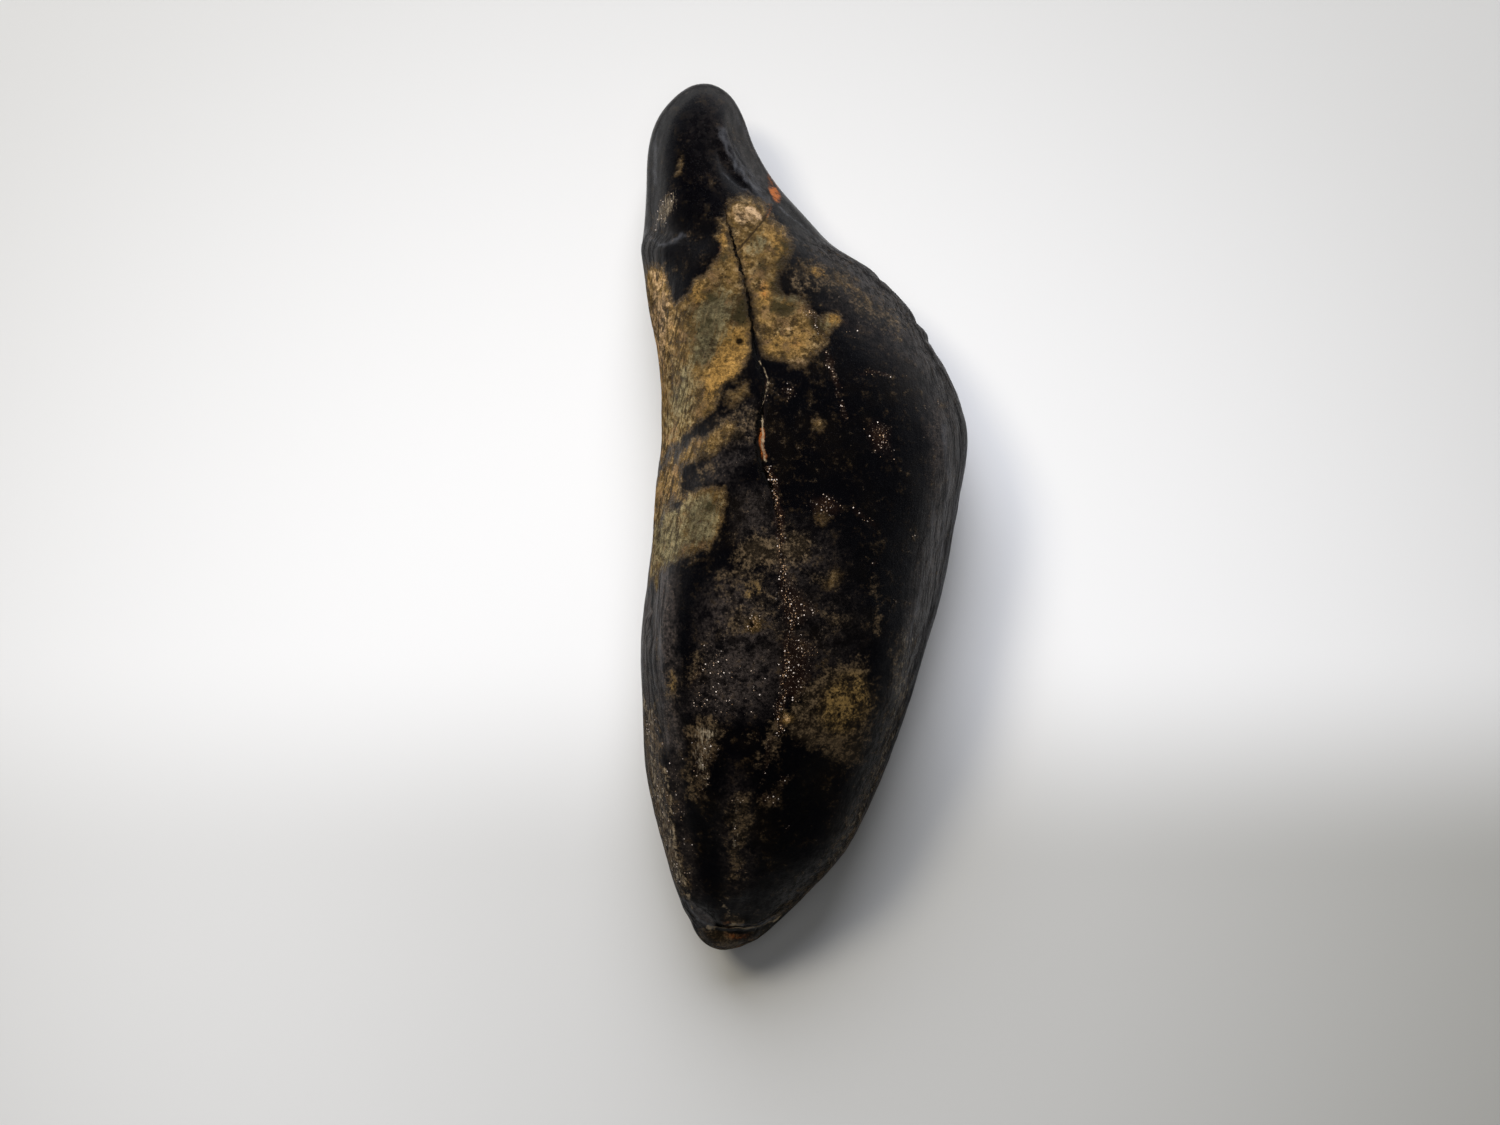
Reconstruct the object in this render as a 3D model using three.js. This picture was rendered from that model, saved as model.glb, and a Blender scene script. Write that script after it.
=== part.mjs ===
// Fossil whale tooth lying on its side: crown tip towards +Y, root end towards -Y, cracked face up.
// Millimetres. +Z is up, z = 0 is the rest plane, and the origin is the middle of the plan bounding box.
import * as THREE from "three";
import { mergeVertices } from "three/addons/utils/BufferGeometryUtils.js";

// ---- driving dimensions, mm ----
const CREST_SHARE = 0.46; // how far across the tooth, left to right, its crest and keel run
const CROWN_FULLNESS = 2.05; // section exponents: 2 is an ellipse, more is squarer
const UPPER_LEFT_FULLNESS = 2.45; // the root's left shoulder is the squarer one
const UPPER_RIGHT_FULLNESS = 2.08;
const LOWER_FULLNESS = 2.15;
const NECK_Y = [28, 44]; // the root's left shoulder softens into the round crown between these
const REST_FLAT_MIN_AREA = 150; // mm2 of flat worn underside the tooth must keep to rest on

// Grid of the skin: columns run along the tooth, rows run round it.
const COLUMNS = 54;
const ROWS = 88;
const CRACK_COLUMN = 14; // column that follows the bottom of the crack, counted from the left edge
const RIGHT_EDGE_COLUMN = 30; // column that follows the right edge of the plan outline
const END_CROWDING = 0.055; // how much closer the rows stand at both ends

// Plan outline [x, y], clockwise from the crown tip.
const PLAN_OUTLINE = [
  [-13.5, 59.9], // crown tip
  [-10.4, 58.2],
  [-8.3, 54.8],
  [-6.9, 51.3],
  [-3.1, 44.7],
  [3.2, 38.0],
  [8.0, 34.6],
  [11.8, 31.4],
  [16.6, 24.8],
  [19.8, 19.9],
  [22.1, 13.3],
  [22.4, 9.6], // widest point of the right side
  [21.4, 2.8],
  [19.4, -6.0],
  [16.8, -16.1],
  [14.4, -25.8],
  [11.7, -32.6],
  [8.6, -39.4],
  [5.5, -46.1],
  [-0.2, -52.8],
  [-5.7, -57.9],
  [-9.1, -59.6],
  [-10.9, -60.0], // root end
  [-12.8, -59.6],
  [-14.8, -57.8],
  [-15.6, -55.8],
  [-17.0, -51.8],
  [-19.1, -45.7],
  [-21.2, -34.3],
  [-22.3, -21.0],
  [-22.1, -14.6],
  [-20.9, -4.2],
  [-20.1, 3.3],
  [-19.1, 9.4],
  [-19.2, 14.0],
  [-20.1, 23.1],
  [-21.3, 31.4],
  [-22.1, 37.6], // bulge under the neck
  [-21.8, 44.0],
  [-21.3, 51.0],
  [-20.1, 54.8],
  [-18.3, 57.3],
  [-15.8, 59.3],
];

// Side profile [z, y]: down the crest from the crown tip, back up the keel.
const SIDE_PROFILE = [
  [9.6, 59.9], // crown tip
  [12.8, 58.8],
  [15.2, 55.7],
  [17.3, 50.4],
  [19.4, 44.2],
  [22.1, 36.0],
  [25.2, 26.0],
  [27.9, 14.0],
  [29.2, 1.0],
  [29.0, -13.0],
  [27.0, -26.0],
  [23.0, -38.4],
  [17.6, -49.1],
  [12.6, -55.9],
  [9.4, -59.2],
  [7.0, -60.0], // root end
  [4.8, -59.2],
  [3.5, -56.0],
  [2.2, -48.6],
  [0.9, -36.0],
  [0.0, -22.0],
  [-0.45, -5.0],
  [-0.35, 12.0],
  [0.6, 26.0],
  [1.8, 38.0],
  [3.5, 49.4],
  [5.4, 56.1],
  [7.2, 59.0],
];

// The long crack of the upper face: [x, y, half width, depth] from the crown to the root.
const CRACK = [
  [-12.6, 55.0, 0.3, 0],
  [-10.8, 43.0, 0.2, 0],
  [-10.6, 40.0, 0.16, 0.25],
  [-10.1, 38.2, 0.16, 0.35],
  [-9.5, 36.2, 0.18, 0.4],
  [-9.1, 34.7, 0.22, 0.5],
  [-8.1, 31.6, 0.18, 0.4],
  [-7.7, 29.9, 0.2, 0.45],
  [-7.1, 26.0, 0.24, 0.6],
  [-6.8, 22.4, 0.26, 0.65],
  [-6.1, 20.0, 0.24, 0.6],
  [-5.2, 17.9, 0.24, 0.6],
  [-5.4, 15.5, 0.24, 0.6],
  [-5.9, 12.4, 0.3, 0.9],
  [-6.1, 9.8, 0.38, 1.3],
  [-5.4, 5.8, 0.4, 1.4],
  [-4.5, 3.9, 0.32, 1.0],
  [-3.9, 0.6, 0.28, 0.7],
  [-3.2, -7.6, 0.22, 0.3],
  [-2.2, -13.2, 0.2, 0.15],
  [-2.1, -16.2, 0.2, 0.15],
  [-2.8, -21.4, 0.2, 0.15],
  [-3.4, -27.5, 0.2, 0.12],
  [-5.4, -34.0, 0.2, 0.08],
  [-6.4, -42.0, 0.3, 0],
  [-8.6, -52.0, 0.4, 0],
];

// Furrows of the upper face: a bent line in plan, with its half width and depth.
const FURROWS = [
  { name: "neck hollow", path: [[-22.4, 40.2], [-19.4, 38.9], [-16.4, 38.6], [-14.2, 37.0]], halfWidth: 1.5, depth: 0.75 },
  { name: "upper arc", path: [[-17.0, 9.0], [-12.8, 12.0], [-10.6, 13.2], [-8.3, 13.8]], halfWidth: 0.9, depth: 0.4 },
  { name: "lower arc", path: [[-15.8, 2.9], [-13.2, 6.6], [-9.3, 8.8], [-7.2, 9.2]], halfWidth: 1.1, depth: 0.4 },
  { name: "branch crack", path: [[-4.5, 41.1], [-5.5, 39.5], [-6.7, 38.2], [-9.0, 35.8]], halfWidth: 0.6, depth: 0.3 },
  { name: "flank slit", path: [[-20.6, -9.4], [-20.7, -12.8], [-20.5, -16.4]], halfWidth: 0.8, depth: 0.9 },
  { name: "facet foot", path: [[-11.3, 48.4], [-10.4, 46.8], [-8.0, 44.1], [-5.0, 42.3]], halfWidth: 0.8, depth: 0.4 },
  { name: "dimple crease", path: [[-14.8, -52.4], [-13.2, -54.1], [-11.8, -55.6]], halfWidth: 0.6, depth: 0.6 },
  { name: "root fold", path: [[-12.2, -56.8], [-10.2, -56.4], [-8.0, -56.9], [-5.4, -56.3], [-3.2, -54.9]], halfWidth: 0.7, depth: 1.2 },
  { name: "shoulder trough", path: [[6.0, -18.0], [3.5, -30.0], [0.0, -41.0]], halfWidth: 3.2, depth: 0.35 },
];

// Ridges of the upper face, described the same way; height stands in for depth.
const RIDGES = [
  { name: "left root ridge", path: [[-18.7, -32.0], [-17.9, -41.1], [-16.6, -48.3], [-14.9, -53.4]], halfWidth: 1.1, height: 0.5 },
  { name: "root ridge", path: [[-9.6, -37.5], [-9.2, -44.0], [-8.9, -50.0]], halfWidth: 1.6, height: 0.45 },
  { name: "fold lip", path: [[-11.4, -55.4], [-8.2, -55.8], [-4.6, -54.7]], halfWidth: 0.8, height: 0.45 },
  { name: "facet edge", path: [[-10.9, 52.0], [-9.8, 49.3], [-8.4, 46.8], [-7.1, 44.5], [-4.8, 42.4]], halfWidth: 0.8, height: 0.35 },
  { name: "neck bulge", path: [[-22.4, 36.9], [-19.0, 35.8]], halfWidth: 1.4, height: 0.35 },
];

// Dents of the upper face: [x, y, radius, depth].
const DENTS = [
  [-7.0, -13.9, 0.75, 0.95], // round pit beside the crack
  [-8.9, 22.6, 0.7, 0.55],
  [-18.9, -29.3, 0.7, 0.5],
  [-14.1, -55.0, 1.4, 0.5], // triangular dimple over the root end
  [2.4, 11.5, 0.8, 0.2],
];

// Worn facet on the right of the crown: a shallow scoop from the edge line below to the outline.
const FACET_TOP = 55.4;
const FACET_FOOT = 43.0;
const FACET_EDGE = [[-10.6, 57.4], [-10.6, 52.0], [-8.4, 46.8], [-7.1, 44.5], [-4.5, 42.3]];
const FACET_DEPTH = 0.7;

// Growth ledges on the right shoulder: [y of the drop, height], mm.
const LEDGES = [
  [33.4, 0.5],
  [28.7, 0.3],
  [26.7, 0.4],
  [24.5, 0.75],
];
const LEDGE_RISE = 3.2; // length over which the skin swells before it drops
const LEDGE_DROP = 0.9; // length of the drop
const LEDGE_REACH = 7; // how far in from the outline a ledge can be followed

// Invented underside: one dry crack line and a few pits, shallower than those on top.
const UNDER_FURROW = { path: [[4.0, 30.0], [7.5, 12.0], [6.5, -4.0]], halfWidth: 0.9, depth: 0.5 };
const UNDER_DENTS = [
  [-11.0, 18.0, 1.1, 0.5],
  [-13.0, -22.0, 1.3, 0.6],
  [1.5, -38.0, 1.0, 0.5],
];

// Slow swells of the whole skin: [waves per mm along x, y, z], amplitude mm.
const SWELLS = [
  [0.23, 0.11, 0.31, 0.16],
  [-0.17, 0.29, 0.12, 0.14],
  [0.41, -0.19, 0.27, 0.07],
];

const smooth = THREE.MathUtils.smoothstep;

// ---- reading the outlines ----

// A closed smooth line through hand-placed points, read back as its low and high value at a given y.
function outline(points) {
  const corners = points.map(([value, y]) => new THREE.Vector3(value, y, 0));
  const trace = new THREE.CatmullRomCurve3(corners, true, "centripetal").getPoints(40 * points.length);
  const heights = trace.map((p) => p.y);
  const span = (y) => {
    const found = [];
    for (let i = 1; i < trace.length; i++) {
      const [a, b] = [trace[i - 1], trace[i]];
      if ((a.y - y) * (b.y - y) > 0 || a.y === b.y) continue;
      found.push(a.x + ((b.x - a.x) * (y - a.y)) / (b.y - a.y));
    }
    return [Math.min(...found), Math.max(...found)];
  };
  return { span, top: Math.max(...heights), end: Math.min(...heights) };
}

const plan = outline(PLAN_OUTLINE);
const side = outline(SIDE_PROFILE);
const TIP_Y = Math.min(plan.top, side.top);
const ROOT_Y = Math.max(plan.end, side.end);

// Crack values at a given y, straight between the listed stations.
function crackAt(y) {
  const last = CRACK.length - 1;
  if (y >= CRACK[0][1]) return { x: CRACK[0][0], half: CRACK[0][2], depth: 0 };
  if (y <= CRACK[last][1]) return { x: CRACK[last][0], half: CRACK[last][2], depth: 0 };
  const i = CRACK.findIndex((station) => station[1] < y);
  const [above, below] = [CRACK[i - 1], CRACK[i]];
  const t = (above[1] - y) / (above[1] - below[1]);
  const mix = (k) => THREE.MathUtils.lerp(above[k], below[k], t);
  return { x: mix(0), half: mix(2), depth: mix(3) };
}

// ---- the smooth body ----

// Middle, reach to each side, height and fullness of the section at y.
function sectionAt(y) {
  const [left, right] = plan.span(y);
  const [keel, crest] = side.span(y);
  const middle = THREE.MathUtils.lerp(left, right, CREST_SHARE);
  const crownShare = smooth(y, ...NECK_Y);
  const leftFullness = THREE.MathUtils.lerp(UPPER_LEFT_FULLNESS, CROWN_FULLNESS, crownShare);
  return { left, right, middle, leftFullness, centre: (keel + crest) / 2, reach: (crest - keel) / 2 };
}

// Angle on the section, 0 at the left edge and 90 degrees at the crest, whose point stands over x.
function angleOver(section, x) {
  const onLeft = x < section.middle;
  const width = onLeft ? section.middle - section.left : section.right - section.middle;
  const fullness = onLeft ? section.leftFullness : UPPER_RIGHT_FULLNESS;
  const share = Math.min(1, Math.abs(x - section.middle) / width);
  const fromCrest = Math.PI / 2 - Math.acos(Math.pow(share, fullness / 2));
  return Math.PI / 2 + (onLeft ? -fromCrest : fromCrest);
}

// Columns are shared out on both sides of the crack, so that three of them follow its two lips and bottom.
function columnAngle(column, section, y) {
  if (column >= RIGHT_EDGE_COLUMN) {
    const under = (column - RIGHT_EDGE_COLUMN) / (COLUMNS - RIGHT_EDGE_COLUMN);
    return Math.PI * (1 + under);
  }
  const crack = crackAt(y);
  const room = (section.right - section.left) / 2;
  const x = THREE.MathUtils.clamp(crack.x, section.middle - room / 3, section.middle + room / 3);
  const lip = Math.min(crack.half, room / 8);
  if (column === CRACK_COLUMN) return angleOver(section, x);
  if (column < CRACK_COLUMN) {
    return (angleOver(section, x - lip) * column) / (CRACK_COLUMN - 1);
  }
  const start = angleOver(section, x + lip);
  const along = (column - CRACK_COLUMN - 1) / (RIGHT_EDGE_COLUMN - CRACK_COLUMN - 1);
  return THREE.MathUtils.lerp(start, Math.PI, along);
}

// Point of the smooth body at a grid place.
function bodyPoint(column, row) {
  const w = 1 - (2 * row) / ROWS;
  const share = w * (1 + END_CROWDING) - END_CROWDING * Math.pow(w, 15);
  const y = THREE.MathUtils.lerp(ROOT_Y, TIP_Y, (1 + share) / 2);
  const section = sectionAt(y);
  if (row === 0 || row === ROWS) return new THREE.Vector3(section.middle, y, section.centre);
  const angle = columnAngle(column % COLUMNS, section, y);
  const [across, up] = [-Math.cos(angle), Math.sin(angle)];
  let fullness = LOWER_FULLNESS;
  if (up > 0) fullness = across < 0 ? section.leftFullness : UPPER_RIGHT_FULLNESS;
  const bend = (value) => Math.sign(value) * Math.pow(Math.abs(value), 2 / fullness);
  const width = across < 0 ? section.middle - section.left : section.right - section.middle;
  return new THREE.Vector3(section.middle + width * bend(across), y, section.centre + section.reach * bend(up));
}

// ---- relief: how far the skin stands out (+) or is sunk (-) at a point ----

// Shortest plan distance from a point to a bent line.
function distanceToPath(path, x, y) {
  const point = new THREE.Vector3(x, y, 0);
  const nearest = new THREE.Vector3();
  let best = Infinity;
  for (let i = 1; i < path.length; i++) {
    const line = new THREE.Line3(new THREE.Vector3(...path[i - 1], 0), new THREE.Vector3(...path[i], 0));
    line.closestPointToPoint(point, true, nearest);
    best = Math.min(best, nearest.distanceTo(point));
  }
  return best;
}

const bump = (distance, halfWidth) => Math.exp(-Math.pow(distance / halfWidth, 2));

function crackRelief(x, y) {
  const crack = crackAt(y);
  return -crack.depth * Math.max(0, 1 - Math.abs(x - crack.x) / crack.half);
}

function facetRelief(x, y, right) {
  if (y > FACET_TOP || y < FACET_FOOT) return 0;
  const i = FACET_EDGE.findIndex((corner) => corner[1] <= y);
  const [above, below] = [FACET_EDGE[i - 1], FACET_EDGE[i]];
  const edge = THREE.MathUtils.mapLinear(y, above[1], below[1], above[0], below[0]);
  const share = (x - edge) / (right - edge);
  if (share <= 0 || share >= 1) return 0;
  const fade = smooth(y, FACET_FOOT, FACET_FOOT + 2.5) * (1 - smooth(y, FACET_TOP - 2, FACET_TOP));
  return -FACET_DEPTH * fade * 4 * share * (1 - share);
}

function ledgeRelief(x, y, right) {
  const inward = 1 - smooth(right - x, 0, LEDGE_REACH);
  let out = 0;
  for (const [drop, height] of LEDGES) {
    const above = y - drop;
    if (above >= 0) out += height * Math.max(0, 1 - above / LEDGE_RISE);
    else out += height * Math.max(0, 1 + above / LEDGE_DROP);
  }
  return out * inward;
}

function swell(p) {
  return SWELLS.reduce((sum, [a, b, c, size]) => sum + size * Math.sin(a * p.x + b * p.y + c * p.z), 0);
}

function reliefAt(p, normal) {
  const right = plan.span(p.y)[1];
  const up = smooth(normal.z, -0.15, 0.2);
  const down = smooth(-normal.z, 0.05, 0.4);
  const onTop = [crackRelief(p.x, p.y), facetRelief(p.x, p.y, right)];
  for (const f of FURROWS) onTop.push(-f.depth * bump(distanceToPath(f.path, p.x, p.y), f.halfWidth));
  for (const r of RIDGES) onTop.push(r.height * bump(distanceToPath(r.path, p.x, p.y), r.halfWidth));
  for (const [x, y, radius, depth] of DENTS) onTop.push(-depth * bump(Math.hypot(p.x - x, p.y - y), radius));
  const below = [-UNDER_FURROW.depth * bump(distanceToPath(UNDER_FURROW.path, p.x, p.y), UNDER_FURROW.halfWidth)];
  for (const [x, y, radius, depth] of UNDER_DENTS) below.push(-depth * bump(Math.hypot(p.x - x, p.y - y), radius));
  const total = (list) => list.reduce((sum, value) => sum + value, 0);
  return up * total(onTop) + down * total(below) + ledgeRelief(p.x, p.y, right) + swell(p);
}

// ---- building the solid ----

function toothGeometry() {
  const grid = new THREE.SphereGeometry(1, COLUMNS, ROWS);
  grid.deleteAttribute("uv");
  grid.deleteAttribute("normal");
  const place = grid.getAttribute("position");
  for (let i = 0; i < place.count; i++) {
    const point = bodyPoint(i % (COLUMNS + 1), Math.floor(i / (COLUMNS + 1)));
    place.setXYZ(i, point.x, point.y, point.z);
  }
  const skin = mergeVertices(grid, 1e-4);
  skin.computeVertexNormals();
  const position = skin.getAttribute("position");
  const normals = skin.getAttribute("normal");
  for (let i = 0; i < position.count; i++) {
    const p = new THREE.Vector3().fromBufferAttribute(position, i);
    const n = new THREE.Vector3().fromBufferAttribute(normals, i);
    p.addScaledVector(n, reliefAt(p, n));
    position.setXYZ(i, p.x, p.y, Math.max(0, p.z)); // the underside is worn flat on the rest plane
  }
  skin.computeBoundingBox();
  const middle = skin.boundingBox.getCenter(new THREE.Vector3());
  skin.translate(-middle.x, -middle.y, 0);
  skin.computeVertexNormals();
  return skin;
}

// Area of the flat underside, mm2.
function restArea(skin) {
  const position = skin.getAttribute("position");
  const index = skin.index;
  const triangle = new THREE.Triangle();
  let area = 0;
  for (let i = 0; i < index.count; i += 3) {
    triangle.setFromAttributeAndIndices(position, index.getX(i), index.getX(i + 1), index.getX(i + 2));
    const highest = Math.max(triangle.a.z, triangle.b.z, triangle.c.z);
    if (highest < 1e-6) area += triangle.getArea();
  }
  return area;
}

const fossil = new THREE.MeshStandardMaterial({ color: 0x2a2520, roughness: 0.45, metalness: 0 });
const tooth = new THREE.Mesh(toothGeometry(), fossil);
tooth.name = "tooth";

if (restArea(tooth.geometry) < REST_FLAT_MIN_AREA) throw new Error("the tooth has no flat to rest on");

const part = new THREE.Group();
part.name = "fossil_whale_tooth";
part.add(tooth);

export default part;
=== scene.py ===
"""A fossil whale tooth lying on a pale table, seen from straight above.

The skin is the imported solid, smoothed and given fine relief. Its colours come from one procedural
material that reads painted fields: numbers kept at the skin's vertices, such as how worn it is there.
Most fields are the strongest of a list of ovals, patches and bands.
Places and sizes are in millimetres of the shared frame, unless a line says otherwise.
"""

import itertools
import math

import bmesh
import bpy
import numpy as np
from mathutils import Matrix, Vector


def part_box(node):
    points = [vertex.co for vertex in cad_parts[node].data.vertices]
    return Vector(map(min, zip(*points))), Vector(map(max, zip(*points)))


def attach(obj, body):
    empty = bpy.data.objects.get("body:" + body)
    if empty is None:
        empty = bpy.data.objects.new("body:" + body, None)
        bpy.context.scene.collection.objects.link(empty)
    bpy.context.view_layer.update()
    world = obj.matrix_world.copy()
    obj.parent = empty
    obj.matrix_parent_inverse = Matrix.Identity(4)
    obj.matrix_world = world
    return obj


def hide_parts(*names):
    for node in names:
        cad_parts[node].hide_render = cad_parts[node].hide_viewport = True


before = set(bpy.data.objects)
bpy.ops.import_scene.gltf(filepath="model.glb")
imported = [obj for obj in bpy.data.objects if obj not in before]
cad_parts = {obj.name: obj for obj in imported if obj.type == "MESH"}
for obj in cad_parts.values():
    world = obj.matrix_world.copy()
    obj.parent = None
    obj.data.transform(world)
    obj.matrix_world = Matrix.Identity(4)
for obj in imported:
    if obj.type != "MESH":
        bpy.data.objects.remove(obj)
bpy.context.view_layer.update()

MM = 0.001  # metres
TOOTH_LOW, TOOTH_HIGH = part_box("tooth")

# The camera looks straight down from this place.
CAMERA_PLACE = (-7.35, -6.12, 354.0)
CAMERA_LENS = 60.0

# The crack from the crown to the root: x, y and half width of its dark line.
CRACK = [
    (-10.8, 43.0, 0.00), (-10.6, 40.0, 0.05), (-10.1, 38.2, 0.06), (-9.5, 36.2, 0.10),
    (-9.1, 34.7, 0.17), (-8.1, 31.6, 0.06), (-7.7, 29.9, 0.07), (-7.2, 26.0, 0.15),
    (-6.8, 22.4, 0.26), (-6.5, 20.0, 0.20), (-5.6, 17.9, 0.18), (-5.6, 15.5, 0.20),
    (-6.2, 12.4, 0.30), (-6.5, 9.8, 0.42), (-6.2, 7.4, 0.42), (-5.4, 5.4, 0.44),
    (-4.7, 3.9, 0.24), (-3.9, 0.6, 0.07), (-3.5, -2.6, 0.05), (-3.2, -7.6, 0.06),
    (-2.2, -13.2, 0.05), (-2.1, -16.2, 0.05), (-2.8, -21.4, 0.05), (-3.4, -27.5, 0.05),
    (-4.9, -29.5, 0.03), (-5.4, -34.0, 0.00),
]
# Hairline that joins the crack from the foot of the crown's worn facet.
BRANCH_CRACK = [(-4.7, 41.8), (-5.1, 40.6), (-5.7, 39.5), (-6.9, 37.8), (-7.9, 36.6), (-9.0, 35.4)]

# ---- shapes of the painted fields ----


def oval(x, y, across, along, turn=0.0, edge=0.8, level=1.0):
    """A patch shaped like an ellipse, from its middle, half sizes and soft edge. turn is in degrees."""
    c, s = math.cos(math.radians(turn)), math.sin(math.radians(turn))

    def share(px, py):
        u = (px - x) * c + (py - y) * s
        v = (py - y) * c - (px - x) * s
        inside = (1 - np.hypot(u / across, v / along)) * min(across, along)
        return level * np.clip(0.5 + inside / (2 * edge), 0, 1)

    return share


def path_offset(path, px, py):
    """Distance from each point to a bent line in plan, positive on the left of the way it runs."""
    best = np.full(px.shape, np.inf)
    signed = best.copy()
    for (ax, ay), (bx, by) in itertools.pairwise(path):
        dx, dy = bx - ax, by - ay
        t = np.clip(((px - ax) * dx + (py - ay) * dy) / (dx * dx + dy * dy), 0, 1)
        gap = np.hypot(px - ax - t * dx, py - ay - t * dy)
        side = np.sign((py - ay) * dx - (px - ax) * dy)
        nearer = gap < best
        best = np.where(nearer, gap, best)
        signed = np.where(nearer, gap * side, signed)
    return signed


def patch(corners, edge=0.8, level=1.0):
    """A patch inside a closed line of corners, with a soft edge."""
    closed = corners + corners[:1]

    def share(px, py):
        inside = np.zeros(px.shape, bool)
        for (ax, ay), (bx, by) in itertools.pairwise(closed):
            if ay == by:
                continue
            crossing = ax + (py - ay) * (bx - ax) / (by - ay)
            inside ^= ((ay > py) != (by > py)) & (px < crossing)
        gap = np.abs(path_offset(closed, px, py))
        depth = np.where(inside, gap, -gap)
        return level * np.clip(0.5 + depth / (2 * edge), 0, 1)

    return share


def band(path, half, edge=0.6, level=1.0):
    """A patch along a bent line, reaching half to each side, with a soft edge."""

    def share(px, py):
        inside = half - np.abs(path_offset(path, px, py))
        return level * np.clip(0.5 + inside / (2 * edge), 0, 1)

    return share


# Where the black skin is worn through to tan.
TAN = [
    # right of the crack, from the worn end of the crown's foot down
    patch([(-10.6, 40.6), (-10.3, 41.8), (-9.4, 42.6), (-7.4, 42.8), (-5.2, 41.8), (-4.9, 40.6),
           (-3.3, 38.8), (-2.2, 37.2), (-1.8, 35.4), (-3.4, 33.0), (-3.9, 31.0), (-3.7, 29.2), (-2.1, 28.9),
           (-0.3, 29.1), (0.3, 27.5), (1.9, 26.3), (3.5, 26.8), (4.5, 25.8), (3.6, 24.6), (2.4, 23.6),
           (2.6, 22.4), (1.0, 21.2), (0.2, 19.8), (-1.4, 19.4), (-2.6, 20.6), (-5.4, 20.8), (-5.9, 22.0),
           (-6.4, 25.4), (-7.1, 29.1), (-8.4, 32.9), (-9.5, 36.0), (-10.4, 38.9)]),
    # left of the crack, from the neck down to the upper arc
    patch([(-11.2, 39.6), (-11.8, 37.4), (-11.0, 35.3), (-13.3, 31.9), (-14.9, 31.2), (-16.2, 28.7),
           (-17.5, 28.3), (-18.4, 30.8), (-19.0, 33.6), (-21.4, 34.2), (-22.0, 30.0), (-20.6, 20.0),
           (-20.0, 8.4), (-17.6, 8.4), (-14.2, 12.2), (-12.2, 13.6), (-10.6, 17.4), (-9.2, 18.0),
           (-7.4, 20.8), (-7.2, 24.6), (-8.0, 29.6), (-9.0, 33.6), (-10.2, 37.4)], edge=0.7),
    patch([(-11.6, 15.6), (-10.2, 16.2), (-7.8, 17.6), (-8.2, 15.6), (-9.6, 14.0), (-11.0, 14.2)],
          edge=0.6, level=0.7),
    # between the arcs
    patch([(-15.3, 10.1), (-13.4, 10.5), (-11.8, 11.5), (-10.2, 12.5), (-8.9, 12.6), (-9.2, 11.2),
           (-10.2, 9.9), (-11.8, 8.6), (-13.4, 7.6), (-15.3, 6.9), (-16.9, 7.2), (-16.1, 8.5)],
          edge=0.6, level=0.9),
    patch([(-19.2, 9.0), (-16.3, 7.0), (-16.6, 3.2), (-18.6, 0.6), (-20.0, -3.0), (-21.4, -2.0),
           (-20.4, 4.0)], edge=0.6),
    # below the lower arc
    patch([(-15.3, 3.7), (-13.1, 3.9), (-11.0, 3.6), (-10.2, 2.0), (-10.7, 0.2), (-12.3, -3.2),
           (-13.1, -4.5), (-16.0, -5.2), (-17.6, -6.2), (-19.4, -7.2), (-21.6, -6.8), (-21.2, -3.4),
           (-18.8, 0.8), (-17.1, 3.3)], edge=0.6, level=0.95),
    oval(-19.0, 41.3, 1.1, 2.3, turn=-25, edge=0.9, level=0.35),
    oval(-16.9, 47.3, 0.35, 0.9, turn=-8, edge=0.4, level=0.8),
    oval(-6.8, -14.1, 1.1, 1.1, edge=0.4, level=0.7),
    oval(1.8, 11.7, 0.7, 0.8, edge=0.5, level=0.75),
    oval(2.0, -0.5, 0.8, 0.9, level=0.7),
    oval(3.7, 26.2, 1.0, 0.8, edge=0.5, level=0.85),
    oval(8.2, 28.6, 1.6, 0.4, turn=-25, edge=0.7, level=0.5),
    oval(-2.5, -26.6, 0.8, 0.7, edge=0.6, level=0.85),
    oval(3.4, -8.6, 1.1, 0.6, turn=30, level=0.6),
    oval(4.6, 31.8, 1.6, 0.8, turn=-25, edge=0.9, level=0.62),
    oval(1.0, 32.8, 1.8, 0.7, turn=-20, edge=0.9, level=0.62),
]

# Black that lies over the tan.
TAN_COVER = [
    band([(-18.9, 8.1), (-17.2, 9.4), (-15.3, 10.6), (-13.4, 11.9), (-11.8, 12.9), (-8.6, 13.4)],
         0.4, edge=0.7, level=0.9),
    oval(-10.2, 15.2, 0.8, 0.7, edge=0.6, level=0.6),
    oval(-15.6, 3.9, 1.3, 1.1, turn=40, edge=0.7, level=0.85),
    oval(-17.0, 1.4, 0.8, 0.9, edge=0.5, level=0.7),
]

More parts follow.
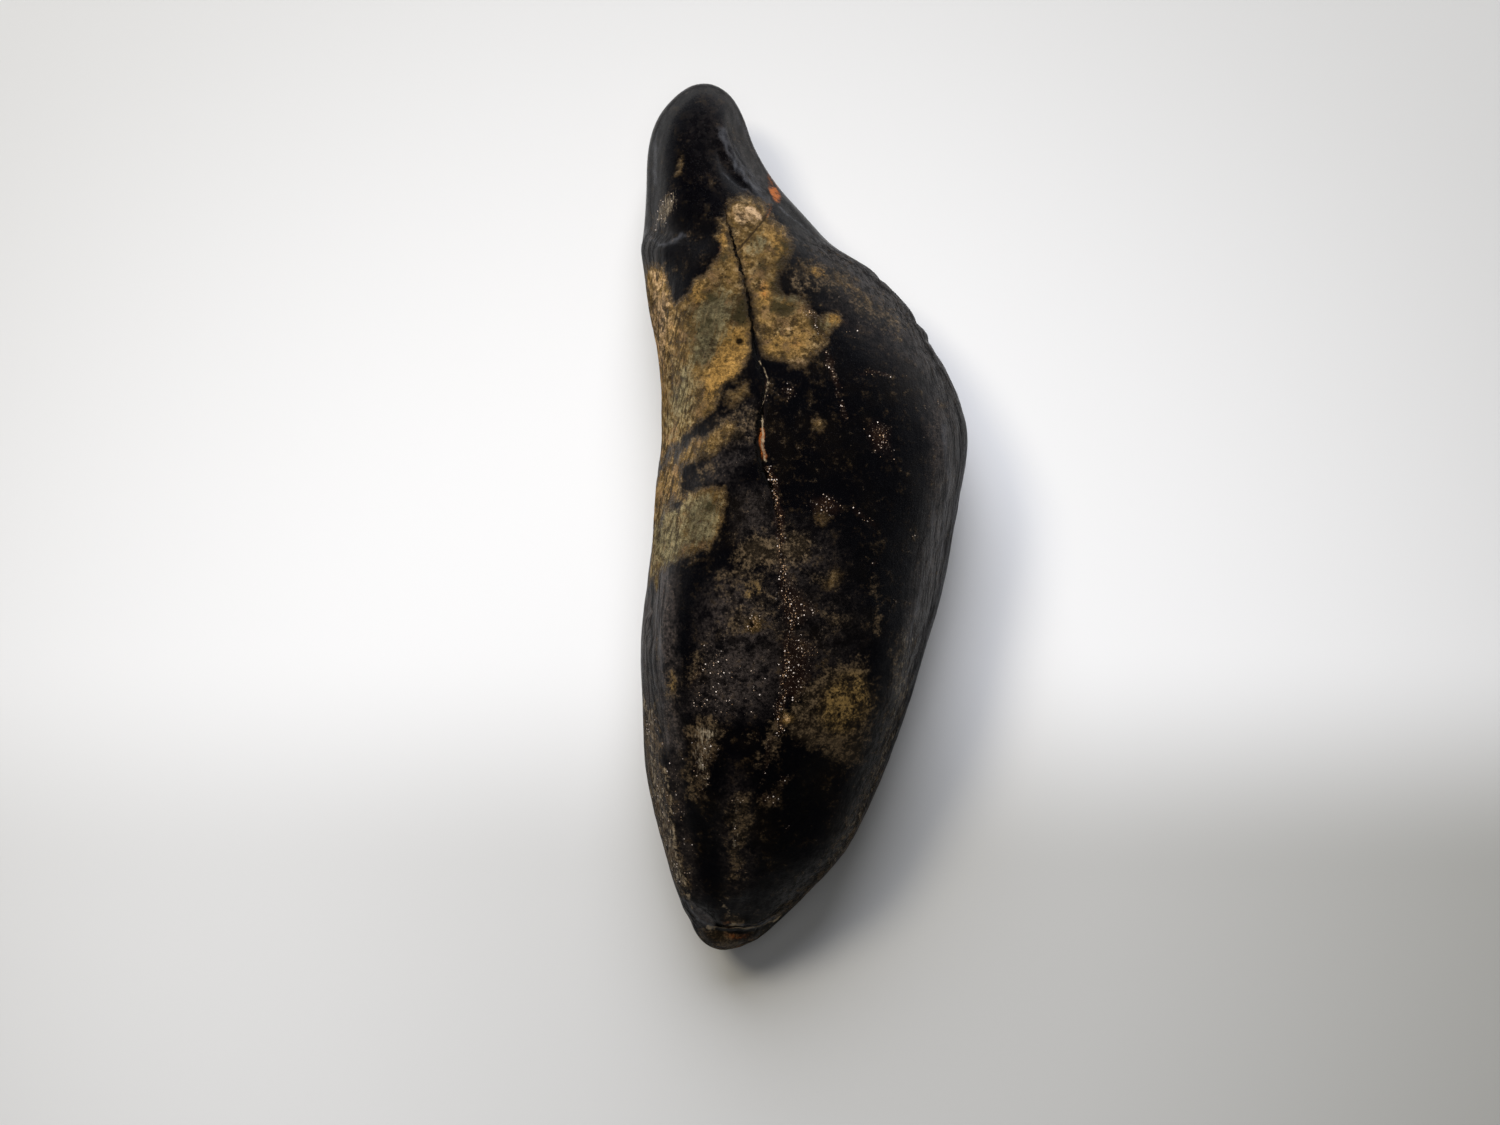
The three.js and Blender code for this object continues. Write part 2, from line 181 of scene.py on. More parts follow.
# Dark mossy stains in the tan.
MOSS = [
    patch([(-8.8, 29.1), (-7.6, 29.4), (-7.3, 26.4), (-7.9, 25.0), (-8.9, 25.3), (-10.0, 26.1),
           (-9.2, 27.2)], edge=0.6),
    patch([(-3.9, 37.4), (-2.0, 36.4), (0.1, 35.4), (-0.2, 33.9), (-2.0, 34.4)], edge=0.7, level=0.9),
    patch([(-4.7, 28.5), (-2.9, 28.3), (-1.3, 28.0), (-1.8, 26.9), (-3.4, 26.6), (-4.4, 27.4)],
          edge=0.7, level=1.2),
    patch([(-14.0, 30.0), (-12.4, 29.6), (-11.0, 29.1), (-11.6, 28.0), (-13.2, 28.3)], edge=0.7, level=0.8),
    oval(-3.4, 30.6, 1.2, 1.6, level=0.9),
    oval(-2.6, 33.8, 1.6, 1.9, turn=20, edge=0.9, level=0.7),
    oval(-5.6, 33.6, 0.7, 1.4, turn=10, edge=0.6, level=0.5),
    oval(-15.2, 25.4, 1.6, 0.5, turn=-15, edge=0.6, level=0.7),
    oval(-16.6, 22.0, 1.0, 1.6, level=0.55),
    oval(-13.0, 25.4, 2.4, 0.6, turn=20, edge=0.7, level=0.6),
    oval(-6.4, 36.9, 1.0, 0.8, edge=0.6, level=0.6),
    oval(-7.9, 38.7, 0.9, 0.5, turn=20, edge=0.5, level=0.4),
    oval(1.5, 25.2, 0.8, 1.5, turn=35, edge=0.5),
    oval(-10.6, 34.6, 0.5, 1.8, turn=-35, edge=0.5, level=0.6),
    oval(-14.6, 8.6, 1.4, 0.9, turn=35, edge=0.7, level=0.6),
    oval(-12.6, 1.2, 1.0, 0.8, edge=0.6, level=0.6),
    oval(-19.4, 28.7, 0.25, 0.25, edge=0.2),
]

# Pits, slits and creases that hardly any light reaches, their shade painted in; the last oval darkens the
# black over the root.
SHADE = [
    oval(-8.9, 22.9, 0.55, 0.5, edge=0.35),
    oval(-7.0, -13.9, 0.4, 0.45, edge=0.25),
    band([(-20.5, -10.1), (-20.6, -12.7), (-20.4, -15.9)], 0.35, edge=0.4, level=0.9),
    band([(-18.9, -28.3), (-19.3, -29.6)], 0.15, edge=0.2),
    band([(-14.8, -51.8), (-13.6, -53.0), (-12.4, -54.2), (-11.6, -55.4)], 0.34, edge=0.3, level=1.4),
    band([(-11.8, -56.2), (-9.4, -56.4), (-7.7, -56.9), (-5.8, -56.6), (-4.3, -56.0)],
         0.26, edge=0.3, level=1.1),
    oval(-0.6, -39.0, 4.0, 9.0, turn=-20, edge=5.0, level=0.62),  # the root's deepest black
]

# Yellower parts of the tan and of the brown film.
OCHRE = [
    patch([(-11.8, 24.0), (-9.7, 24.8), (-7.6, 24.7), (-7.6, 21.3), (-8.7, 18.9), (-10.0, 17.3),
           (-12.3, 15.5), (-14.2, 15.1), (-13.4, 18.5), (-12.1, 20.5)], edge=1.0),
    oval(-2.6, 23.4, 3.8, 2.8, edge=2.0, level=0.5),
    oval(-5.2, 29.4, 1.0, 1.5, turn=10, level=0.9),
    oval(-3.0, 35.4, 1.4, 3.2, turn=35, edge=1.2, level=0.7),
    oval(-11.0, 36.8, 0.7, 1.6, edge=0.6, level=0.8),
    oval(-14.2, 29.4, 1.6, 2.0, turn=30, edge=1.0, level=0.6),
    oval(-18.3, 26.0, 1.0, 4.0, turn=5, edge=1.0, level=0.3),
    oval(-15.4, 16.4, 0.5, 3.4, turn=-18, edge=0.6, level=0.6),
    oval(5.2, -24.6, 3.2, 4.2, turn=-35, edge=1.6, level=0.95),
    oval(-17.8, -21.9, 0.8, 1.6, edge=0.6, level=0.9),
    oval(-6.8, -9.6, 1.6, 1.2, level=0.9),
    oval(-2.3, -26.7, 0.9, 0.6, edge=0.6),
    oval(3.7, 26.2, 0.9, 0.8, edge=0.5),
    oval(1.6, 32.4, 1.2, 0.8, edge=0.6),
    oval(-11.3, -1.4, 0.7, 3.0, turn=-25, edge=0.7, level=0.6),
]

# Palest parts of the tan.
CREAM = [
    oval(-8.2, 40.2, 1.9, 1.9, edge=1.4, level=0.62),
    band([(-7.9, 41.4), (-6.9, 40.9), (-6.1, 40.0)], 0.3, edge=0.4, level=1.5),
    oval(-2.5, -26.6, 0.7, 0.6, edge=0.5, level=0.7),
    patch([(-21.2, 34.0), (-18.9, 33.4), (-17.7, 28.3), (-18.0, 23.5), (-18.6, 20.5), (-20.0, 20.5),
           (-21.6, 27.0)], edge=1.0, level=0.5),
    oval(1.8, 11.7, 0.6, 0.6, edge=0.4, level=0.4),
    band([(-5.9, 21.9), (-5.6, 21.1), (-3.6, 20.5), (-2.6, 19.9)], 0.18, edge=0.25, level=0.6),
    oval(-0.9, 20.3, 1.1, 0.9, edge=0.6, level=0.5),
    oval(-2.3, 24.8, 0.35, 0.3, edge=0.3, level=0.9),
    oval(-8.6, 32.2, 0.6, 1.5, turn=15, edge=0.6, level=0.5),
    oval(-10.4, 37.6, 0.5, 1.3, turn=5, edge=0.5, level=0.5),
]

# Grey-green parts of the tan.
OLIVE = [
    patch([(-14.6, 27.6), (-11.0, 30.2), (-9.4, 28.6), (-10.2, 24.4), (-12.4, 20.4), (-15.6, 19.0)],
          edge=1.4),
    oval(-16.4, 16.0, 2.0, 6.0, turn=-10, edge=1.4, level=0.75),
    oval(-14.0, -0.4, 3.0, 3.6, turn=-15, edge=1.4, level=0.9),
    oval(-18.0, -3.0, 2.6, 4.8, turn=-14, edge=1.4, level=0.95),
    oval(-2.0, 29.2, 2.4, 1.4, turn=10, edge=1.0, level=0.8),
    oval(-6.4, 36.2, 1.6, 1.6, edge=1.0, level=0.7),
    oval(2.4, 25.2, 1.6, 1.6, edge=1.0, level=0.6),
    oval(-17.6, -22.6, 0.9, 2.4, level=0.7),
    oval(4.0, -24.0, 1.4, 1.6, edge=1.0, level=0.7),
    oval(-19.0, 41.1, 1.0, 2.2, turn=-25, level=0.9),
    oval(-13.4, -28.4, 1.8, 1.8, edge=1.0, level=0.7),
]

# Thin brown film over the black.
BROWN = [
    patch([(-2.2, 34.6), (0.8, 34.0), (5.6, 33.0), (5.8, 29.8), (1.8, 29.2), (-1.6, 30.6)],
          edge=1.2, level=0.62),
    oval(-0.4, 37.0, 2.4, 1.2, turn=-32, edge=1.0, level=0.5),
    patch([(5.0, 30.6), (8.6, 29.4), (11.8, 27.6), (14.2, 25.2), (12.6, 23.8), (9.6, 24.9), (7.0, 26.4)],
          edge=1.0, level=0.7),
    oval(-9.4, 12.4, 3.0, 3.4, edge=1.4, level=0.65),
    oval(-13.0, 5.6, 2.6, 1.4, turn=40, edge=1.0, level=0.6),
    oval(-2.4, 16.4, 1.4, 1.0, level=0.5),
    patch([(-12.4, -8.2), (-8.0, -3.4), (-4.0, -1.4), (0.6, -3.0), (0.4, -7.0), (-3.6, -8.6), (-3.6, -15.2),
           (-12.0, -15.4)], edge=1.8, level=0.62),
    oval(-7.1, -9.8, 1.6, 1.5, edge=1.0, level=0.9),
    oval(-5.8, -4.7, 2.6, 1.6, turn=12, edge=1.2, level=1.9),
    oval(-1.4, -4.2, 1.9, 2.0, edge=1.2, level=1.45),
    oval(2.4, -8.4, 1.8, 0.9, turn=-15, edge=0.9, level=0.8),
    oval(3.6, -13.5, 1.8, 1.8, edge=1.2, level=0.6),
    band([(9.0, -8.1), (9.4, -11.5), (9.5, -15.2)], 0.5, edge=0.7, level=0.8),
    patch([(-0.4, -22.6), (1.8, -20.4), (6.0, -19.2), (8.3, -22.9), (8.6, -29.4), (7.8, -33.0),
           (5.4, -33.4), (2.4, -31.4), (-1.0, -29.8), (-3.2, -26.5)], edge=1.0, level=1.15),
    oval(5.6, -24.4, 2.8, 4.6, turn=-25, edge=1.8, level=1.5),
    band([(7.6, -21.0), (7.9, -26.0), (7.2, -31.0)], 0.5, level=1.3),
    band([(13.0, -18.0), (12.2, -27.0), (9.2, -37.0), (5.4, -45.0), (1.0, -51.0), (-3.4, -55.0)],
         1.3, edge=1.2),
    band([(9.0, -34.0), (7.4, -40.0), (4.6, -45.5)], 0.7, edge=0.9, level=0.9),
    oval(-4.6, -30.0, 1.6, 3.4, turn=-15, edge=1.2, level=0.65),
    oval(10.6, -31.0, 1.2, 4.0, turn=-28, edge=1.0, level=0.55),
    oval(-17.6, -22.6, 1.0, 2.8, level=0.8),
    oval(-14.6, -19.4, 1.2, 2.4, turn=-20, edge=0.9, level=0.7),
    oval(-13.2, -28.2, 2.2, 1.9, edge=1.0, level=0.95),
    patch([(-15.6, -29.2), (-12.0, -29.2), (-12.4, -32.6), (-13.2, -36.0), (-14.2, -38.0), (-16.2, -38.0)],
          edge=0.9, level=0.8),
    band([(-20.9, -25.5), (-20.3, -32.0), (-19.2, -39.5), (-18.0, -45.5), (-16.6, -50.0)], 1.6),
    patch([(-9.6, -36.6), (-7.5, -36.8), (-7.2, -40.3), (-7.7, -44.1), (-8.2, -48.0), (-10.2, -50.0),
           (-10.6, -45.9), (-10.4, -40.0)], edge=0.9, level=0.8),
    oval(-5.1, -37.5, 1.3, 1.0, edge=0.7, level=0.85),
    oval(-2.7, -35.2, 0.6, 1.2, turn=-30, edge=0.5, level=0.75),
    oval(-9.6, -58.6, 8.0, 2.6, edge=0.5, level=1.3),
    oval(-9.6, -54.8, 1.2, 0.8, edge=0.5, level=0.9),
]

# Pale mineral grains, above all along the crack.
GRAIN = [
    band([(-5.2, 6.2), (-4.4, 4.4), (-3.9, 1.6), (-3.5, -1.6), (-3.2, -5.0), (-3.1, -7.8)],
         0.32, edge=0.35, level=1.5),
    band([(-5.5, 17.4), (-5.5, 14.8), (-5.8, 12.4)], 0.3, edge=0.3, level=0.7),
    band([(-3.2, -7.6), (-3.0, -9.8), (-2.2, -13.2), (-2.1, -16.2), (-2.8, -21.4), (-3.4, -25.0),
          (-3.4, -28.1)], 0.35, edge=0.35, level=1.4),
    band([(-3.6, -28.4), (-4.8, -29.2), (-5.1, -31.0), (-5.4, -34.0)], 0.15, edge=0.3, level=0.8),
    patch([(-3.8, -7.6), (-2.2, -7.8), (-0.6, -10.4), (1.0, -12.4), (-0.4, -14.4), (-2.8, -14.2)],
          level=0.72),
    patch([(-3.0, -15.0), (-1.6, -15.0), (1.0, -17.0), (0.6, -20.0), (0.0, -23.2), (-1.4, -24.4),
           (-3.1, -23.4)], edge=1.0, level=0.66),
    band([(-14.6, -21.2), (-13.2, -20.0), (-12.2, -18.9), (-11.5, -17.6)], 0.35, edge=0.4),
    patch([(-13.6, -17.0), (-10.8, -16.4), (-9.6, -20.0), (-9.2, -25.6), (-12.4, -26.2), (-15.2, -25.6)],
          edge=1.6, level=0.42),
    oval(-7.4, -22.0, 4.0, 5.0, edge=2.4, level=0.2),
    patch([(-15.4, -29.2), (-12.0, -29.2), (-12.4, -32.6), (-13.2, -36.4), (-14.2, -37.6), (-15.2, -34.0)],
          level=0.42),
    band([(-20.8, -25.5), (-20.2, -32.0), (-19.1, -39.5), (-17.9, -45.5), (-16.8, -49.0)], 1.3, level=0.4),
    oval(-16.8, -38.0, 0.5, 4.4, turn=10, edge=0.7, level=0.6),
    oval(-9.0, -43.0, 1.2, 6.0, turn=2, edge=1.0, level=0.3),
    oval(9.7, 10.2, 1.4, 2.2, turn=20, edge=1.0, level=0.8),
    oval(2.4, 1.3, 1.7, 1.3, edge=0.9, level=0.7),
    band([(6.3, 0.5), (8.0, -0.6), (9.2, -1.4)], 0.3, edge=0.5, level=0.6),
    oval(8.7, -6.2, 0.5, 0.4, edge=0.3, level=0.7),
    band([(0.2, 27.4), (1.2, 26.0), (1.8, 24.2)], 0.5, edge=0.4, level=0.9),
    oval(5.4, 25.6, 1.6, 1.0, turn=-40, edge=1.0, level=0.4),
    band([(2.6, 21.5), (3.4, 19.4), (3.9, 17.0), (4.5, 14.6), (5.2, 12.5)], 0.16, edge=0.3, level=1.2),
    band([(7.2, 18.6), (9.2, 18.9), (10.8, 18.7)], 0.12, edge=0.3, level=1.1),
    oval(-2.0, 16.2, 1.0, 1.0, level=0.45),
    oval(-5.1, -37.5, 1.2, 0.9, edge=0.6, level=0.6),
    oval(-2.7, -35.2, 0.5, 0.9, turn=-30, edge=0.4, level=0.6),
    oval(-2.4, -41.5, 0.35, 0.5, edge=0.3, level=0.7),
    oval(-18.6, 41.4, 1.4, 2.6, turn=-25, edge=0.9, level=0.5),
    oval(-6.8, -14.1, 0.9, 1.0, edge=0.5, level=1.5),
]

# Orange mineral: by the foot of the crown's worn facet, in the tan, on the crack's lip and in the
# folded root end.
ORANGE = [
    oval(-3.9, 43.6, 0.55, 1.0, turn=20, edge=0.6, level=1.5),
    band([(-4.8, 46.6), (-4.4, 45.4), (-4.1, 44.4)], 0.12, edge=0.5, level=0.9),
    oval(-5.4, 29.6, 0.9, 1.7, turn=10, edge=0.9, level=0.55),
    oval(-11.4, 35.6, 0.6, 1.4, turn=-10, level=0.45),
    oval(-1.4, 22.6, 1.4, 0.8, edge=0.9, level=0.45),
    band([(-6.0, 11.6), (-6.0, 10.2), (-5.8, 8.8), (-5.6, 7.6)], 0.32, edge=0.25, level=1.2),
    oval(-9.0, -57.4, 2.2, 0.6, turn=-6, edge=0.5, level=0.6),
    oval(-10.1, -55.2, 0.9, 0.4, edge=0.4, level=0.55),
    band([(-4.7, 41.8), (-4.8, 41.0), (-5.2, 40.2)], 0.2, edge=0.3, level=0.95),
]

# Thin pale edges, such as the crack's right lip, the small pit's rim and the folds of the root end.
# Partly their own pale colour, partly painted highlights where they catch the light.
LIPS_AND_HIGHLIGHTS = [
    band([(-6.2, 20.2), (-5.6, 19.1), (-5.15, 17.8), (-5.25, 16.4), (-5.35, 15.0), (-5.7, 13.4)],
         0.1, edge=0.15),
    band([(-5.7, 13.4), (-5.85, 11.9), (-5.85, 10.6), (-5.6, 8.9), (-5.45, 7.2)],
         0.12, edge=0.15, level=1.1),
    band([(-13.1, -55.8), (-11.5, -56.0), (-9.3, -55.6), (-7.6, -56.4), (-6.0, -56.5), (-3.2, -55.3)],
         0.18, edge=0.3, level=1.3),
    band([(-8.0, -55.3), (-6.6, -55.8), (-5.0, -55.4), (-3.6, -54.6), (-2.4, -53.4)],
         0.1, edge=0.3, level=0.6),
    band([(-14.9, -51.4), (-13.6, -52.6), (-12.2, -53.9), (-11.2, -55.2)], 0.1, edge=0.25, level=0.55),
    band([(2.6, 21.5), (3.4, 19.4), (3.9, 17.0), (4.5, 14.6)], 0.05, edge=0.15, level=0.5),
    band([(-6.1, -13.4), (-6.9, -13.0), (-7.5, -13.6), (-7.6, -14.3), (-7.2, -15.0), (-6.5, -15.0)],
         0.12, edge=0.25, level=0.6),
    band([(-11.1, -52.0), (-10.3, -53.4), (-9.7, -55.0)], 0.15, edge=0.3, level=0.7),
    band([(-18.5, -33.7), (-17.9, -38.8), (-17.6, -43.0), (-16.8, -46.6), (-15.7, -50.5), (-15.2, -53.4)],
         0.16, edge=0.3, level=0.8),
]

# Pale chalky dashes that run along the tooth.
CHALK = [
    band([(13.4, -16.0), (12.4, -27.0), (9.4, -37.0), (5.6, -45.0), (1.0, -51.2)],
         1.5, edge=1.0, level=0.62),
    band([(17.8, 8.0), (18.0, -3.0), (15.8, -12.0)], 1.6, edge=1.4, level=0.3),
    band([(-21.2, -24.5), (-20.7, -29.0), (-20.0, -34.5), (-18.9, -40.0), (-17.9, -44.5), (-16.8, -49.0)],
         1.2, edge=0.8, level=0.78),
    patch([(-15.0, -27.4), (-12.4, -27.4), (-12.2, -31.0), (-12.9, -35.6), (-13.8, -37.4), (-15.0, -33.0)],
          edge=0.9, level=0.8),
    oval(-13.2, -28.4, 1.7, 1.5, edge=0.9, level=0.85),
    oval(-16.6, -37.6, 0.6, 4.0, turn=10, edge=0.6, level=0.5),
    oval(-9.1, -42.5, 1.4, 5.6, turn=2, edge=1.0, level=0.6),
    oval(-11.6, -17.6, 1.6, 1.4, edge=1.0, level=0.35),
    oval(-12.4, -22.4, 2.6, 3.2, edge=1.6, level=0.3),
    oval(-18.7, 41.2, 1.1, 2.3, turn=-25, level=1.25),
]

# Bluish streaks where worn edges and polished flanks catch the light.
SHEEN = [
    band([(-11.0, 52.4), (-10.3, 49.8), (-9.2, 47.6), (-8.0, 45.8), (-6.0, 43.4), (-4.8, 42.0)],
         0.25, edge=0.7, level=0.85),
    band([(-9.6, 49.6), (-8.0, 47.2), (-6.2, 45.0)], 0.5, edge=1.0, level=0.6),
    band([(-9.0, 54.6), (-7.2, 51.4), (-5.4, 48.0)], 0.15, edge=0.4, level=0.6),
    band([(-11.1, 46.2), (-9.4, 44.9), (-7.4, 43.5), (-4.9, 41.9)], 0.1, edge=0.25, level=0.7),
    band([(-3.6, 41.7), (-2.0, 40.4), (0.0, 38.9), (2.2, 37.4), (4.6, 35.9)], 0.05, edge=0.25, level=0.85),
    band([(-20.0, 52.5), (-20.3, 48.5), (-20.2, 45.0)], 0.25, edge=0.5, level=0.7),
    band([(-20.8, 37.8), (-19.4, 36.6), (-17.6, 36.5), (-16.0, 37.6)], 0.25, edge=0.5, level=0.7),
    patch([(-16.0, -52.2), (-14.9, -51.9), (-13.2, -53.8), (-11.9, -55.5), (-12.6, -55.9), (-14.6, -54.7)],
          edge=0.4, level=0.45),
    band([(18.4, 12.0), (18.9, 4.0), (18.2, -5.0)], 0.35, edge=0.7, level=0.7),
    band([(16.9, 2.0), (17.0, -4.0), (15.8, -10.0)], 0.2, edge=0.5, level=0.6),
    band([(20.6, 9.0), (20.6, 3.0), (19.6, -3.0)], 0.2, edge=0.5, level=0.6),
    band([(15.6, -8.0), (14.4, -14.0), (12.8, -21.0)], 0.3, level=0.65),
    band([(-19.4, -9.0), (-19.2, -17.0), (-18.8, -25.0)], 0.3, edge=0.7, level=0.6),
    band([(-16.2, -51.8), (-15.4, -53.6), (-13.6, -55.4), (-12.0, -55.9)], 0.25, edge=0.4),
    band([(-8.7, -55.7), (-7.0, -56.1), (-5.3, -55.8), (-3.8, -55.1), (-2.4, -54.0)],
         0.2, edge=0.35, level=1.1),
]

# Grey film that dulls the black: dust in places, and painted sheen down the flanks and on the crown's worn
# facet.
DUST_AND_SHEEN = [
    band([(-21.0, -9.0), (-21.5, -16.5), (-21.4, -24.5)], 0.6),
    band([(-18.7, -8.0), (-18.5, -16.0), (-18.2, -22.0), (-17.6, -30.0)], 1.3, edge=0.9, level=1.3),
    band([(17.6, 14.0), (18.6, 5.0), (18.0, -3.1), (15.8, -9.0)], 1.4, edge=1.6, level=1.1),
    band([(16.2, -5.0), (14.6, -13.8), (12.8, -22.0)], 0.9, edge=1.2, level=0.9),
    patch([(-11.6, 13.0), (-7.2, 14.6), (-6.6, 9.0), (-10.6, 3.8), (-15.0, 4.6), (-13.0, 7.0)],
          edge=1.2, level=0.6),
    patch([(-10.8, 52.0), (-9.2, 49.4), (-7.2, 46.2), (-4.8, 43.0), (-4.8, 46.6), (-7.6, 52.4)],
          edge=0.6, level=0.3),
    patch([(-13.4, -11.6), (-10.3, -8.0), (-4.0, -9.6), (-3.7, -21.8), (-4.4, -25.0), (-11.3, -26.2),
           (-15.0, -25.6), (-13.4, -18.6)], edge=2.0, level=0.85),
    patch([(-8.8, 3.4), (-5.2, 3.0), (-4.2, -3.0), (-8.6, -3.0)], edge=1.6, level=0.6),
    oval(-1.0, -6.0, 4.5, 4.0, edge=3.0, level=0.5),
    oval(2.0, -15.0, 4.0, 6.0, edge=3.0, level=0.4),
    oval(-9.0, -43.0, 1.8, 7.0, turn=2, edge=1.4, level=0.6),
    patch([(-16.0, -52.2), (-14.9, -51.9), (-13.4, -53.3), (-11.8, -55.6), (-12.6, -55.9), (-14.6, -54.7)],
          edge=0.4, level=1.5),
    band([(-17.6, -31.0), (-17.1, -39.0), (-16.0, -46.0), (-14.8, -51.0)], 0.9, edge=0.7, level=0.7),
    patch([(2.0, 36.0), (8.0, 33.6), (13.0, 29.4), (18.0, 23.4), (20.0, 17.0), (14.0, 19.0), (8.0, 24.0),
           (3.0, 29.0)], edge=2.5, level=0.4),
    oval(-8.0, 52.0, 5.0, 6.0, edge=4.0, level=0.35),
]


def painted(shapes, x, y):
    """The strongest of several patches at each point."""
    return np.maximum.reduce([shape(x, y) for shape in shapes])


# ---- random relief ----


LATTICE = 256  # the random values repeat after this many lumps
NOISE_GAIN = 1.6  # brings them to about -1 to 1


def noise_at(points, size, seed):
    """Smooth random values, about -1 to 1, in lumps about size across. size may differ by axis."""
    rng = np.random.default_rng(seed)
    order = rng.permutation(LATTICE)
    slopes = rng.normal(size=(LATTICE, 3))
    slopes /= np.linalg.norm(slopes, axis=1, keepdims=True)
    scaled = points / np.array(size, float)
    cell = np.floor(scaled).astype(int)
    inside = scaled - cell
    fade = inside**3 * (inside * (inside * 6 - 15) + 10)
    total = np.zeros(len(points))
    for corner in itertools.product((0, 1), repeat=3):
        step = np.array(corner)
        a, b, c = ((cell + step) % LATTICE).T
        slope = slopes[order[(order[(order[a] + b) % LATTICE] + c) % LATTICE]]
        weight = np.prod(np.where(step == 1, fade, 1 - fade), axis=1)
        total += weight * np.sum(slope * (inside - step), axis=1)
    return NOISE_GAIN * total


def add_noise(values, points, layers):
    """The values with random ones added, layer by layer: how strong, size of a lump, and seed."""
    for strength, size, seed in layers:
        values = values + strength * noise_at(points, size, seed)
    return values


def smooth_step(value, low, high):
    """0 below low, 1 above high, smooth between."""
    t = np.clip((value - low) / (high - low), 0, 1)
    return t * t * (3 - 2 * t)


# ---- the skin ----

WELD = 0.001  # corners of the mesh that are closer than this are one corner
SUBDIVISIONS = 2

# The patches' outlines wander a little, as worn edges do: reach, size of a lump, seed.
WANDER_X = [(0.35, 2.6, 21), (0.25, 1.0, 22)]
WANDER_Y = [(0.35, 2.6, 23), (0.25, 1.0, 24)]
# Down the steep flanks they wander further, so that no patch stops there in a straight line.
STEEP_WANDER = [(5.0, (12, 9, 6), 31), (1.8, 2.5, 32)]

# Where each zone of the skin begins and is complete.
FACING_UP = (-0.15, 0.1)  # of the outward direction's height, 1 being straight up
STEEP = (-0.6, -0.1)  # of the same with the opposite sign
FLANK = (0.1, 0.5)  # of how far the skin is from level
CROWN = (35.0, 40.0)  # along Y
CROWN_SLANT = 0.12  # how much nearer the root it begins for each mm to the right
ROOT = (12.0, 32.0)  # along -Y

# The underside has patches of its own: mean, random layers, and the most.
UNDER_TAN = {"mean": 0.38, "layers": [(0.55, 11, 5)], "most": 0.9}
UNDER_BROWN = {"mean": 0.5, "layers": [(0.6, 9, 3)], "most": 0.8}

CRACK_REACH = 5.0  # offsets from a crack are told apart up to this far from it

# Fields that lie on the upward part of the skin only.
TOP_SHAPES = {"cream": CREAM, "grain": GRAIN, "orange": ORANGE, "lip": LIPS_AND_HIGHLIGHTS, "dust_and_sheen": DUST_AND_SHEEN,
              "chalk": CHALK, "moss": MOSS, "sheen": SHEEN, "shade": SHADE}


def add_object(name, data):
    """A new object in the scene."""
    made = bpy.data.objects.new(name, data)
    bpy.context.scene.collection.objects.link(made)
    return made


def smoothed_mesh(node):
    """The solid's mesh, welded, its triangles joined in pairs, and subdivided."""
    mesh = node.data.copy()
    work = bmesh.new()
    work.from_mesh(mesh)
    bmesh.ops.remove_doubles(work, verts=work.verts, dist=WELD * MM)
    any_angle = math.pi
    bmesh.ops.join_triangles(
        work, faces=work.faces, angle_face_threshold=any_angle, angle_shape_threshold=any_angle
    )
    work.to_mesh(mesh)
    work.free()
    holder = add_object("tooth_cage", mesh)
    rounding = holder.modifiers.new("rounding", "SUBSURF")
    rounding.levels = rounding.render_levels = SUBDIVISIONS
    made = holder.evaluated_get(bpy.context.evaluated_depsgraph_get())
    smooth = bpy.data.meshes.new_from_object(made)
    bpy.data.objects.remove(holder)
    return smooth


def vertex_arrays(mesh):
    """Places and outward directions of a mesh's vertices."""
    count = len(mesh.vertices)
    places = np.zeros(count * 3)
    mesh.vertices.foreach_get("co", places)
    normals = np.zeros(count * 3)
    mesh.vertices.foreach_get("normal", normals)
    return places.reshape(-1, 3) / MM, normals.reshape(-1, 3)


def within_reach(offset, normals):
    """An offset from a crack, cut at the reach, and equal to the reach all over the underside."""
    return np.where(normals[:, 2] > 0, np.clip(offset, -CRACK_REACH, CRACK_REACH), CRACK_REACH)


def crack_half_width(y):
    """Half width of the crack's dark line at each place along the tooth."""
    stations = CRACK[::-1]
    return np.interp(y, [s[1] for s in stations], [s[2] for s in stations], left=0, right=0)


def hidden_patches(places, mean, layers, most):
    """Random patches for the underside."""
    return np.clip(add_noise(mean, places, layers), 0, most)


def skin_fields(places, normals):
    """Every painted field at each vertex, by name."""
    x = add_noise(places[:, 0], places, WANDER_X)
    y = add_noise(places[:, 1], places, WANDER_Y)
    steep = smooth_step(-normals[:, 2], *STEEP)
    y += steep * add_noise(0.0, places, STEEP_WANDER)
    up = smooth_step(normals[:, 2], *FACING_UP)
    fields = {name: painted(shapes, x, y) * up for name, shapes in TOP_SHAPES.items()}
    fields["ochre"] = painted(OCHRE, x, y)
    fields["olive"] = painted(OLIVE, x, y)
    top_tan = painted(TAN, x, y) * (1 - painted(TAN_COVER, x, y))
    fields["tan"] = up * top_tan + (1 - up) * hidden_patches(places, **UNDER_TAN)
    fields["brown"] = up * painted(BROWN, x, y) + (1 - up) * hidden_patches(places, **UNDER_BROWN)
    fields["flank"] = smooth_step(1 - np.abs(normals[:, 2]), *FLANK)
    fields["crown"] = smooth_step(y + CROWN_SLANT * x, *CROWN)
    fields["root"] = smooth_step(-y, *ROOT)
    crack_line = [(cx, cy) for cx, cy, _ in CRACK]
    # The signs settle to which side random kinks push each line.
    off_crack = -path_offset(crack_line, places[:, 0], places[:, 1])
    off_branch = path_offset(BRANCH_CRACK, places[:, 0], places[:, 1])
    fields["crack_offset"] = within_reach(off_crack, normals)
    fields["branch_offset"] = within_reach(off_branch, normals)
    fields["crack_half"] = crack_half_width(places[:, 1])
    return fields


